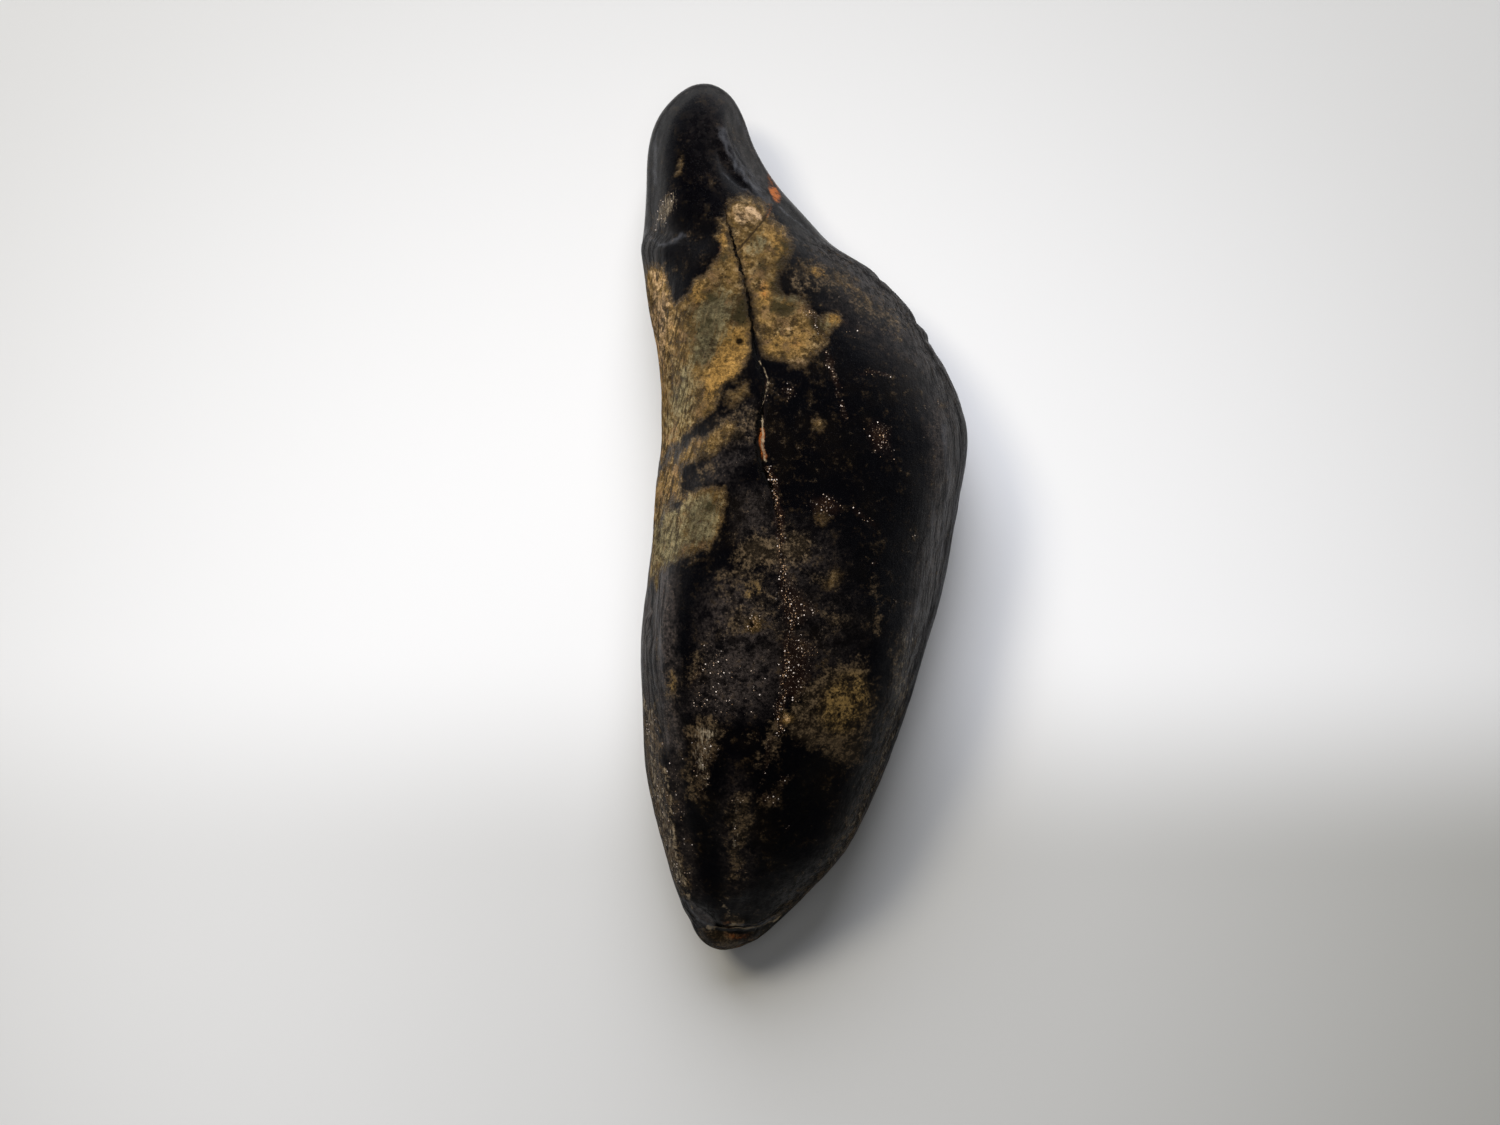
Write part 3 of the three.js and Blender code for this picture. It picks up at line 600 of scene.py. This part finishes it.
# Grooves: path from its deep end to its shallow end, half width and depth.
GROOVES = [
    ([(11.6, 32.4), (8.0, 33.4)], 0.6, 0.35),
    ([(16.2, 26.2), (12.4, 28.0)], 0.6, 0.30),
    ([(18.4, 23.6), (14.4, 24.6)], 0.7, 0.45),
    ([(-21.0, -12.6), (-20.8, -8.4)], 0.7, 0.45),
    ([(-21.0, -12.6), (-20.9, -16.6)], 0.7, 0.45),
]

# Fine relief: the field that it follows, how high it stands, size of a lump, and seed.
RELIEF = [
    ("everywhere", 0.07, 6, 11),
    ("body", 0.04, 2.2, 12),
    ("tan", 0.06, 0.9, 13),
    ("grain", 0.05, 0.8, 14),
    ("fibres", 0.05, (1.0, 8.0, 1.0), 15),
]
WORN_DEPTH = 0.08  # the tan lies this much lower than the black


def groove_depth(path, half, depth, x, y):
    """How far a groove reaches into the skin at each point."""
    (ax, ay), (bx, by) = path
    run = math.hypot(bx - ax, by - ay)
    along = ((x - ax) * (bx - ax) + (y - ay) * (by - ay)) / run**2
    fade = np.clip(1 - along, 0, 1)
    gap = np.abs(path_offset(path, x, y))
    return depth * fade * np.clip(1 - gap / half, 0, 1)


def relief(places, fields):
    """How far each vertex stands out of the smoothed solid."""
    body = 1 - fields["crown"]
    shares = fields | {"everywhere": 1.0, "body": body, "fibres": fields["flank"] * body}
    height = -WORN_DEPTH * fields["tan"]
    for where, rise, size, seed in RELIEF:
        height += shares[where] * rise * noise_at(places, size, seed)
    for path, half, depth in GROOVES:
        height -= groove_depth(path, half, depth, places[:, 0], places[:, 1])
    return height


def make_skin(node):
    """The skin over the solid, kept inside the solid's box, with its fields and its material."""
    mesh = smoothed_mesh(node)
    mesh.name = "tooth_skin"
    places, normals = vertex_arrays(mesh)
    fields = skin_fields(places, normals)
    moved = places + normals * relief(places, fields)[:, None]
    low, high = np.array(TOOTH_LOW) / MM, np.array(TOOTH_HIGH) / MM
    mesh.vertices.foreach_set("co", (np.clip(moved, low, high) * MM).ravel())
    for name, values in fields.items():
        layer = mesh.attributes.new(name, "FLOAT", "POINT")
        layer.data.foreach_set("value", values.astype(np.float32))
    mesh.polygons.foreach_set("use_smooth", [True] * len(mesh.polygons))
    mesh.materials.clear()
    mesh.materials.append(fossil_material())
    mesh.update()
    return add_object("tooth_skin", mesh)


# ---- material ----


def colour(value):
    """A tone as a colour socket takes it. Another node's socket stays as it is."""
    if isinstance(value, bpy.types.NodeSocket):
        return value
    return (*value, 1.0)


# A mix node's colour sockets, by number, because their names aren't unique.
MIX_FROM = 6
MIX_TO = 7
MIX_RESULT = 2


class Graph:
    """Adds nodes to a node tree and joins them, so that each layer reads as a line or two."""

    def __init__(self, tree):
        self.tree = tree
        self.tree.nodes.clear()
        self.place = self.add("ShaderNodeTexCoord").outputs["Object"]

    def add(self, kind, inputs=None, **settings):
        """A new node. inputs gives values, or other nodes' sockets, by each input's name or number."""
        node = self.tree.nodes.new(kind)
        for name, value in settings.items():
            setattr(node, name, value)
        for key, value in (inputs or {}).items():
            if isinstance(value, bpy.types.NodeSocket):
                self.tree.links.new(value, node.inputs[key])
            else:
                node.inputs[key].default_value = value
        return node

    def show(self, shader, output="ShaderNodeOutputMaterial"):
        """Ends the tree with a shader."""
        self.add(output, {"Surface": shader.outputs[0]})

    def math(self, operation, a, b=0.0):
        return self.add("ShaderNodeMath", {0: a, 1: b}, operation=operation).outputs[0]

    def blend(self, factor, a, b):
        """A number that goes from a to b as factor goes from 0 to 1."""
        return self.math("ADD", a, self.math("MULTIPLY", factor, self.math("SUBTRACT", b, a)))

    def times(self, *factors):
        """The product of numbers and sockets."""
        total = factors[0]
        for factor in factors[1:]:
            total = self.math("MULTIPLY", total, factor)
        return total

    def field(self, name):
        """One of the skin's painted fields."""
        return self.add("ShaderNodeAttribute", attribute_name=name).outputs["Fac"]

    def scaled(self, size, lean=0.0):
        """The place counted in lumps of this size, which may differ by axis and lean by some degrees."""
        turned = self.place
        if lean:
            inputs = {"Vector": turned, "Angle": math.radians(lean)}
            turned = self.add("ShaderNodeVectorRotate", inputs, rotation_type="Z_AXIS").outputs[0]
        sizes = size if isinstance(size, tuple) else (size, size, size)
        inputs = {0: turned, 1: [1 / (s * MM) for s in sizes]}
        return self.add("ShaderNodeVectorMath", inputs, operation="MULTIPLY").outputs[0]

    def noise(self, size, detail, roughness, lean=0.0):
        """Random values, about 0.5 on average, in lumps of this size."""
        place = self.scaled(size, lean)
        inputs = {"Vector": place, "Scale": 1.0, "Detail": detail, "Roughness": roughness}
        return self.add("ShaderNodeTexNoise", inputs).outputs["Fac"]

    def cells(self, size):
        """Distance from the nearest cell's middle, in cells, and two random values of that cell."""
        node = self.add("ShaderNodeTexVoronoi", {"Vector": self.scaled(size), "Scale": 1.0})
        split = self.add("ShaderNodeSeparateColor", {0: node.outputs["Color"]})
        return node.outputs["Distance"], split.outputs[0], split.outputs[1]

    def step(self, value, low, high, bottom=0.0, top=1.0):
        """bottom where value is below low, top above high, smooth between."""
        inputs = {"Value": value, "From Min": low, "From Max": high, "To Min": bottom, "To Max": top}
        return self.add("ShaderNodeMapRange", inputs, interpolation_type="SMOOTHSTEP").outputs[0]

    def mix(self, factor, a, b):
        """A colour that goes from a to b as factor goes from 0 to 1."""
        inputs = {0: factor, MIX_FROM: colour(a), MIX_TO: colour(b)}
        return self.add("ShaderNodeMix", inputs, data_type="RGBA").outputs[MIX_RESULT]

    def shade(self, tone, factor):
        """A colour made darker or lighter by a factor."""
        inputs = {0: tone, "Scale": factor}
        return self.add("ShaderNodeVectorMath", inputs, operation="SCALE").outputs[0]

    def ragged(self, field, *grain):
        """A field whose edge is broken up by (noise, strength) pairs."""
        for noise, strength in grain:
            field = self.math("ADD", field, self.times(self.math("SUBTRACT", noise, 0.5), strength))
        return field


# Tones in linear light.
BLACK = (0.001, 0.0009, 0.0014)
BROWN_BLACK = (0.0028, 0.002, 0.0016)
GREY_DUST_AND_SHEEN = (0.026, 0.0205, 0.018)
SHEEN_TONE = (0.115, 0.118, 0.13)
DARK_BROWN = (0.015, 0.0105, 0.0062)
MID_BROWN = (0.105, 0.072, 0.039)
FRINGE = (0.024, 0.015, 0.0065)
TAN_DARK = (0.04, 0.0245, 0.0085)
TAN_BASE = (0.115, 0.069, 0.022)
TAN_PALE = (0.25, 0.172, 0.084)
MOSS_TONE = (0.02, 0.0165, 0.007)
PINK_TAN = (0.22, 0.13, 0.058)
OCHRE_TONE = (0.25, 0.14, 0.038)
OLIVE_TONE = (0.1, 0.086, 0.046)
CREAM_TONE = (0.52, 0.35, 0.2)
GOLD_FILM = (0.23, 0.14, 0.038)
CHALK_TONE = (0.35, 0.285, 0.195)
ORANGE_TONE = (0.3, 0.085, 0.017)
RUST = (0.045, 0.013, 0.004)
LIP_AND_HIGHLIGHT_TONE = (0.32, 0.25, 0.16)
PALE_GRAIN = (0.46, 0.29, 0.16)
WHITE_GRAIN = (0.76, 0.66, 0.58)
GREY_GRAIN = (0.13, 0.1, 0.075)
GRAIN_BED = (0.016, 0.007, 0.004)
CRACK_AND_SHADE_BLACK = (0.0008, 0.0006, 0.0005)

# The skin mirrors less at its turned-away edges, where its fine scratches scatter the light.
MIRROR_FADE = (0.30, 0.68)
MIRROR_LEVELS = (0.45, 0.02)

FIBRE_LEAN = 17.0  # degrees that the left flank's fibres lean from the tooth's length
PORE_CELL = 0.55  # each cell of this size can hold one pore

# Round dots: size of the cell that each lies in, and the largest radius as a share of the cell.
DUST = (0.26, 0.36)
PACKED_GRAINS = (0.24, 0.42)
LOOSE_GRAINS = (0.36, 0.31)

KINK_SIZE = 1.4  # the cracks' lines wander in kinks of this size
KINK_REACH = 1.7  # times the kinks' random values, which lie between -0.5 and 0.5
BRANCH_KINKS = 0.6  # share of that in the branch
BRANCH_LINE = (0.05, 0.22)  # full up to the first distance from its middle, gone at the second

BUMP_STRENGTH = 0.8
BUMP_DISTANCE = 0.22


class Noises:
    """The random textures that several layers share."""

    def __init__(self, g):
        self.drift = g.noise(6.5, 4, 0.55)
        self.big = g.noise(2.6, 5, 0.62)
        self.stain = g.noise(1.7, 5, 0.65)
        self.mid = g.noise(1.0, 5, 0.70)
        self.fine = g.noise(0.36, 3, 0.70)
        self.fibre = g.noise((0.34, 3.4, 0.5), 4, 0.65, lean=FIBRE_LEAN)
        self.dash = g.noise((0.24, 1.2, 1.2), 3, 0.75)
        self.streak = g.noise((0.75, 9.0, 0.75), 5, 0.62)
        self.scratch = g.noise((0.28, 3.6, 0.28), 4, 0.65)


def tan_tone(g, n):
    """The worn-through colour: beige, ochre, olive and cream, with mossy stains, fibres and pores,
    lightened on the flanks as painted light.
    """
    flank = g.step(g.field("flank"), 0.0, 0.4)
    tone = g.mix(g.step(g.ragged(n.big, (n.mid, 0.9)), 0.34, 0.60), TAN_DARK, TAN_BASE)
    tone = g.mix(g.step(g.ragged(n.mid, (n.fine, 0.25)), 0.48, 0.74, 0.0, 0.9), tone, TAN_PALE)
    tone = g.mix(g.step(n.stain, 0.50, 0.68, 0.0, 0.75), tone, PINK_TAN)
    ochre = g.step(g.ragged(g.field("ochre"), (n.big, 1.4), (n.mid, 1.6)), 0.2, 1.0)
    mottled = g.step(g.ragged(n.mid, (n.fine, 0.5)), 0.3, 0.7, 0.5, 1.25)
    tone = g.mix(ochre, tone, g.shade(OCHRE_TONE, mottled))
    olive = g.step(g.ragged(g.field("olive"), (n.fibre, 1.6), (n.mid, 1.6)), 0.2, 1.0, 0.0, 0.85)
    tone = g.mix(olive, tone, g.shade(OLIVE_TONE, g.step(n.mid, 0.3, 0.7, 0.45, 1.6)))
    cream = g.step(g.ragged(g.field("cream"), (n.mid, 1.5), (n.fine, 0.4)), 0.3, 1.1)
    tone = g.mix(cream, tone, CREAM_TONE)
    tone = g.shade(tone, g.step(n.fine, 0.28, 0.72, 0.72, 1.28))
    tone = g.shade(tone, g.step(n.drift, 0.35, 0.65, 0.8, 1.2))
    # Painted light: the tan is lighter on the steep flanks, standing in for the light that falls on them.
    tone = g.shade(tone, g.step(flank, 0.0, 1.0, 1.0, 1.72))
    fibrous = g.math("MAXIMUM", flank, g.times(olive, 0.55))
    dark_fibres = g.times(g.step(n.fibre, 0.38, 0.55, 0.75, 0.0), fibrous)
    tone = g.mix(dark_fibres, tone, DARK_BROWN)
    pale_fibres = g.times(g.step(n.fibre, 0.56, 0.72, 0.0, 0.75), fibrous)
    tone = g.mix(pale_fibres, tone, TAN_PALE)
    moss = g.ragged(g.field("moss"), (n.stain, 2.6), (n.mid, 2.0), (n.fine, 0.6))
    moss = g.step(moss, 0.15, 0.85, 0.0, 0.92)
    tone = g.mix(g.times(moss, g.step(flank, 0.0, 1.0, 1.0, 0.5)), tone, MOSS_TONE)
    gap, lottery, _ = g.cells(PORE_CELL)
    hole = g.times(g.step(gap, 0.12, 0.30, 1.0, 0.0), g.step(lottery, 0.80, 0.82))
    return g.mix(g.times(hole, 0.75), tone, BROWN_BLACK)


def black_tone(g, n):
    """The glossy black skin, with its grey film of dust and painted sheen, its painted highlights and its
    brown film.
    """
    body = g.step(g.field("crown"), 0, 1, 1.0, 0.2)
    skin = g.mix(g.times(g.step(n.drift, 0.45, 0.70), body), BLACK, BROWN_BLACK)
    speck = g.times(g.step(n.fine, 0.58, 0.86), 0.25)
    skin = g.mix(speck, skin, GREY_DUST_AND_SHEEN)
    # Painted sheen: grey streaks down the flanks, where their fine scratches catch the light.
    scratch_sheen = g.step(g.ragged(n.streak, (n.scratch, 0.9)), 0.42, 0.75)
    skin = g.mix(g.times(scratch_sheen, g.field("flank"), body, 0.5), skin, GREY_DUST_AND_SHEEN)
    # Dust, and painted sheen where the flanks and the worn facet catch the light.
    dust_and_sheen_tone = g.shade(GREY_DUST_AND_SHEEN, g.step(n.fine, 0.32, 0.70, 0.3, 2.5))
    clouds = g.ragged(n.big, (n.mid, 0.9))
    streaks = g.ragged(n.streak, (n.mid, 0.6))
    uneven = g.step(g.blend(g.field("flank"), clouds, streaks), 0.30, 0.66, 0.08, 1.0)
    skin = g.mix(g.times(g.field("dust_and_sheen"), uneven), skin, dust_and_sheen_tone)
    sheen = g.step(g.ragged(g.field("sheen"), (n.streak, 0.8), (n.mid, 0.3)), 0.15, 1.15, 0.0, 0.8)
    skin = g.mix(sheen, skin, SHEEN_TONE)
    film = g.math("SUBTRACT", g.field("brown"), g.times(g.field("crown"), 0.5))
    film = g.ragged(film, (n.drift, 1.0), (n.stain, 1.6), (n.mid, 1.8), (n.fine, 0.8))
    lighter = g.step(g.ragged(n.big, (n.mid, 0.8), (n.fine, 0.8)), 0.40, 0.80)
    brown = g.mix(lighter, DARK_BROWN, MID_BROWN)
    golden = g.step(g.ragged(n.big, (n.mid, 0.9), (n.fine, 0.8)), 0.30, 0.95)
    brown = g.mix(g.times(g.step(g.field("ochre"), 0.2, 0.9), golden), brown, GOLD_FILM)
    brown = g.shade(brown, g.step(g.ragged(n.fine, (n.mid, 0.6)), 0.28, 0.72, 0.55, 1.5))
    skin = g.mix(g.step(film, 0.25, 1.10, 0.0, 0.95), skin, brown)
    chalk = g.ragged(g.field("chalk"), (n.dash, 2.4), (n.mid, 0.8))
    return g.mix(g.step(chalk, 0.70, 1.30, 0.0, 0.9), skin, CHALK_TONE)


def dots(g, density, size, reach):
    """Round dots, at most one to a cell of this size, and a random value of each dot's own."""
    gap, lottery, other = g.cells(size)
    lit = g.step(g.math("SUBTRACT", density, lottery), 0.0, 0.06)
    radius = g.step(other, 0.0, 1.0, 0.4 * reach, reach)
    inside = g.step(g.math("SUBTRACT", gap, radius), -0.12, 0.06, 1.0, 0.0)
    return g.times(lit, inside), other


def with_grains(g, n, skin):
    """Pale mineral grains, loose and packed, on a dark reddish bed, and grey dust between them.

    It also returns the mask of the loose grains, which stand out of the skin.
    """
    density = g.math("SUBTRACT", g.ragged(g.field("grain"), (n.big, 0.8), (n.mid, 0.7)), 0.10)
    bed = g.times(g.step(density, 0.0, 0.8, 0.0, 0.55), g.step(g.field("dust_and_sheen"), 0.1, 0.7, 1.0, 0.0))
    skin = g.mix(bed, skin, GRAIN_BED)
    hazy = g.times(g.field("dust_and_sheen"), g.step(n.mid, 0.35, 0.75, 0.0, 0.5))
    dust, _ = dots(g, g.math("MAXIMUM", g.times(density, 1.5), hazy), *DUST)
    skin = g.mix(g.times(dust, 0.6), skin, GREY_GRAIN)
    packed, _ = dots(g, g.math("SUBTRACT", density, 0.55), *PACKED_GRAINS)
    skin = g.mix(packed, skin, PALE_GRAIN)
    loose, tint = dots(g, g.times(density, 1.1), *LOOSE_GRAINS)
    return g.mix(loose, skin, g.mix(g.step(tint, 0.35, 1.0), PALE_GRAIN, WHITE_GRAIN)), loose


def with_cracks(g, n, skin):
    """The orange mineral and the pale edges with their painted highlights, and over them the long crack and
    its branch.

    It also returns the mask of the long crack.
    """
    orange = g.step(g.ragged(g.field("orange"), (n.mid, 0.7), (n.fine, 0.3)), 0.25, 0.95)
    skin = g.mix(orange, skin, g.mix(g.step(n.mid, 0.34, 0.56), RUST, ORANGE_TONE))
    # Pale lips and ridges: their own colour and painted highlights.
    lip = g.step(g.ragged(g.field("lip"), (n.mid, 1.6), (n.fine, 0.8)), 0.30, 0.95)
    skin = g.mix(lip, skin, LIP_AND_HIGHLIGHT_TONE)
    kinks = g.noise(KINK_SIZE, 5, 0.7)
    wander = g.times(g.math("SUBTRACT", kinks, 0.5), KINK_REACH)
    across = g.math("ABSOLUTE", g.math("ADD", g.field("crack_offset"), wander))
    width = g.times(g.field("crack_half"), g.step(n.mid, 0.32, 0.62, 0.15, 1.0))
    inside = g.step(g.math("SUBTRACT", across, width), -0.04, 0.08, 1.0, 0.0)
    opening = g.times(g.step(g.field("crack_half"), 0.01, 0.08), inside)
    skin = g.mix(opening, skin, CRACK_AND_SHADE_BLACK)
    branch_wander = g.times(wander, BRANCH_KINKS)
    branch = g.math("ABSOLUTE", g.math("ADD", g.field("branch_offset"), branch_wander))
    return g.mix(g.step(branch, *BRANCH_LINE, 0.92, 0.0), skin, FRINGE), opening


def surface_height(g, n, tan_mask, grains, opening):
    """Height of the finest relief, as shares of the bump's distance."""
    body = g.step(g.field("crown"), 0, 1, 1.0, 0.12)
    layers = (
        g.times(n.streak, g.field("flank"), body, 0.7),
        g.times(n.scratch, g.field("flank"), body, 0.4),
        g.times(n.mid, tan_mask, 1.0),
        g.times(n.fine, tan_mask, 0.5),
        g.times(n.fine, body, 0.16),
        g.times(n.mid, body, 0.3),
        g.times(grains, 0.5),
        g.times(opening, -2.0),
    )
    total = layers[0]
    for layer in layers[1:]:
        total = g.math("ADD", total, layer)
    return total


def new_material(name):
    """A material and the graph that fills it."""
    material = bpy.data.materials.new(name)
    material.use_nodes = True
    return material, Graph(material.node_tree)


def fossil_material():
    """The whole skin: black, then the tan worn through it, the grains, the cracks and the painted shade of
    the pits.
    """
    material, g = new_material("fossil")
    n = Noises(g)

    skin = black_tone(g, n)
    worn = g.ragged(g.field("tan"), (n.big, 1.1), (n.mid, 1.1), (n.fine, 0.55))
    skin = g.mix(g.step(worn, 0.05, 0.50, 0.0, 0.9), skin, FRINGE)
    tan_mask = g.step(worn, 0.20, 1.12)
    skin = g.mix(tan_mask, skin, tan_tone(g, n))
    skin, grains = with_grains(g, n, skin)
    skin, opening = with_cracks(g, n, skin)
    # Painted shade in the pits, slits and creases; the same mix darkens the black over the root.
    shade = g.step(g.ragged(g.field("shade"), (n.mid, 0.6)), 0.25, 0.75, 0.0, 0.95)
    skin = g.mix(shade, skin, CRACK_AND_SHADE_BLACK)

    polish = g.times(g.step(n.mid, 0.3, 0.7, 0.30, 0.44), g.step(g.field("crown"), 0, 1, 1.0, 0.75))
    rough = g.math("MAXIMUM", polish, g.step(tan_mask, 0, 1, 0.0, 0.62))
    facing = g.add("ShaderNodeLayerWeight").outputs["Facing"]
    duller = g.times(g.step(tan_mask, 0, 1, 1.0, 0.35), g.step(g.field("root"), 0, 1, 1.0, 0.4))
    scuffs = g.step(g.ragged(n.streak, (n.scratch, 0.4)), 0.38, 0.62, 0.35, 1.6)
    scuffed = g.blend(g.times(g.field("flank"), g.step(g.field("crown"), 0, 1, 1.0, 0.4)), 1.0, scuffs)
    mirror = g.times(g.step(facing, *MIRROR_FADE, *MIRROR_LEVELS), duller, scuffed)

    bump = g.add("ShaderNodeBump", {
        "Strength": BUMP_STRENGTH,
        "Distance": BUMP_DISTANCE * MM,
        "Height": surface_height(g, n, tan_mask, grains, opening),
    })
    g.show(g.add("ShaderNodeBsdfPrincipled", {
        "Base Color": skin,
        "Roughness": rough,
        "Specular IOR Level": mirror,
        "Normal": bump.outputs[0],
    }))
    return material


# ---- table, light and camera ----

PAPER = (0.80, 0.80, 0.80)
# Painted shade: the paper's tone goes towards this where the room's light falls off.
SHADED_PAPER = (0.06, 0.055, 0.025)
# Places and sizes from here to the lights are in metres.
TABLE_HALF = 1.5
FRONT_REACH = (-0.0505, -0.017)  # painted shade: the paper darkens between these two places along Y
FRONT_DEPTH = (0.17, 0.56)  # by this share, at the left and at the right
FRONT_HALF_WIDTH = 0.13  # the left and the right are this far from the middle
VIGNETTE_CENTRE = (-0.012, -0.060, 0.0)
VIGNETTE_REACH = (0.052, 0.186)  # painted shade darkens it all round between these two distances from there
VIGNETTE_DEPTH = 0.40


def paper_material():
    """Pale paper with painted shade: darker towards the front right and all round, as the room's light
    falls off.
    """
    material, g = new_material("table_paper")
    across, along, _ = g.add("ShaderNodeSeparateXYZ", {0: g.place}).outputs
    front = g.step(along, *FRONT_REACH, 1.0, 0.0)
    depth = g.step(across, -FRONT_HALF_WIDTH, FRONT_HALF_WIDTH, *FRONT_DEPTH)
    from_centre = g.add("ShaderNodeVectorMath", {0: g.place, 1: VIGNETTE_CENTRE}, operation="DISTANCE")
    corners = g.step(from_centre.outputs["Value"], *VIGNETTE_REACH, 0.0, VIGNETTE_DEPTH)
    lit = g.times(g.math("SUBTRACT", 1.0, g.times(front, depth)), g.math("SUBTRACT", 1.0, corners))
    g.show(g.add("ShaderNodeBsdfPrincipled", {
        "Base Color": g.mix(lit, SHADED_PAPER, PAPER),
        "Roughness": 0.9,
        "Specular IOR Level": 0.1,
    }))
    return material


def make_table():
    mesh = bpy.data.meshes.new("table")
    h = TABLE_HALF
    corners = [(-h, -h, 0), (h, -h, 0), (h, h, 0), (-h, h, 0)]
    mesh.from_pydata(corners, [], [(0, 1, 2, 3)])
    mesh.materials.append(paper_material())
    table = add_object("table", mesh)


# The room's brightness: where along an axis of the sky it changes, and from what to what.
BY_HEIGHT = (0.12, 0.68, 0.36, 0.014)  # horizon to overhead
BY_DEPTH = (-0.45, 0.35, 0.15, 1.0)  # viewer's side to far side
BY_SIDE = (-0.60, 0.60, 0.55, 1.35)  # left to right
SKY_TONE = (0.90, 0.93, 1.0)


def area_light(name, direction, distance, size, power, tone):
    """A round soft light that shines on the tooth from a direction. power is in watts.

    It isn't mirrored in the glossy skin, which shows the room instead.
    """
    lamp = bpy.data.lights.new(name, "AREA")
    lamp.shape = "DISK"
    lamp.size = size
    lamp.energy = power
    lamp.color = tone
    light = add_object(name, lamp)
    towards = Vector(direction).normalized()
    light.location = towards * distance
    light.rotation_euler = towards.to_track_quat("Z", "Y").to_euler()
    light.visible_glossy = False


def make_world():
    """A room that is dim overhead, paler low down and to the right, and dark on the viewer's side."""
    world = bpy.data.worlds.new("studio")
    bpy.context.scene.world = world
    world.use_nodes = True
    g = Graph(world.node_tree)
    sky = g.add("ShaderNodeTexCoord").outputs["Generated"]
    side, depth, height = g.add("ShaderNodeSeparateXYZ", {0: sky}).outputs
    brightness = g.times(g.step(height, *BY_HEIGHT), g.step(depth, *BY_DEPTH), g.step(side, *BY_SIDE))
    background = g.add("ShaderNodeBackground", {"Color": colour(SKY_TONE), "Strength": brightness})
    g.show(background, "ShaderNodeOutputWorld")


def make_lights():
    make_world()
    area_light("lamp", direction=(-0.57, 0.50, 0.92), distance=1.0, size=0.28, power=4.1,
               tone=(1.0, 0.92, 0.75))
    area_light("window", direction=(-0.14, 1.00, 0.79), distance=1.1, size=0.90, power=18.7,
               tone=(0.91, 0.93, 1.0))
    area_light("ceiling", direction=(0.0, 0.001, 1.0), distance=0.8, size=0.50, power=0.9,
               tone=(1.0, 1.0, 1.0))


def make_camera():
    lens = bpy.data.cameras.new("camera")
    lens.lens = CAMERA_LENS
    camera = add_object("camera", lens)
    camera.location = Vector(CAMERA_PLACE) * MM
    bpy.context.scene.camera = camera


def main():
    skin = make_skin(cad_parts["tooth"])
    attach(skin, "root")
    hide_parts("tooth")
    make_table()
    make_lights()
    make_camera()
    bpy.context.scene.view_settings.view_transform = "Standard"


main()
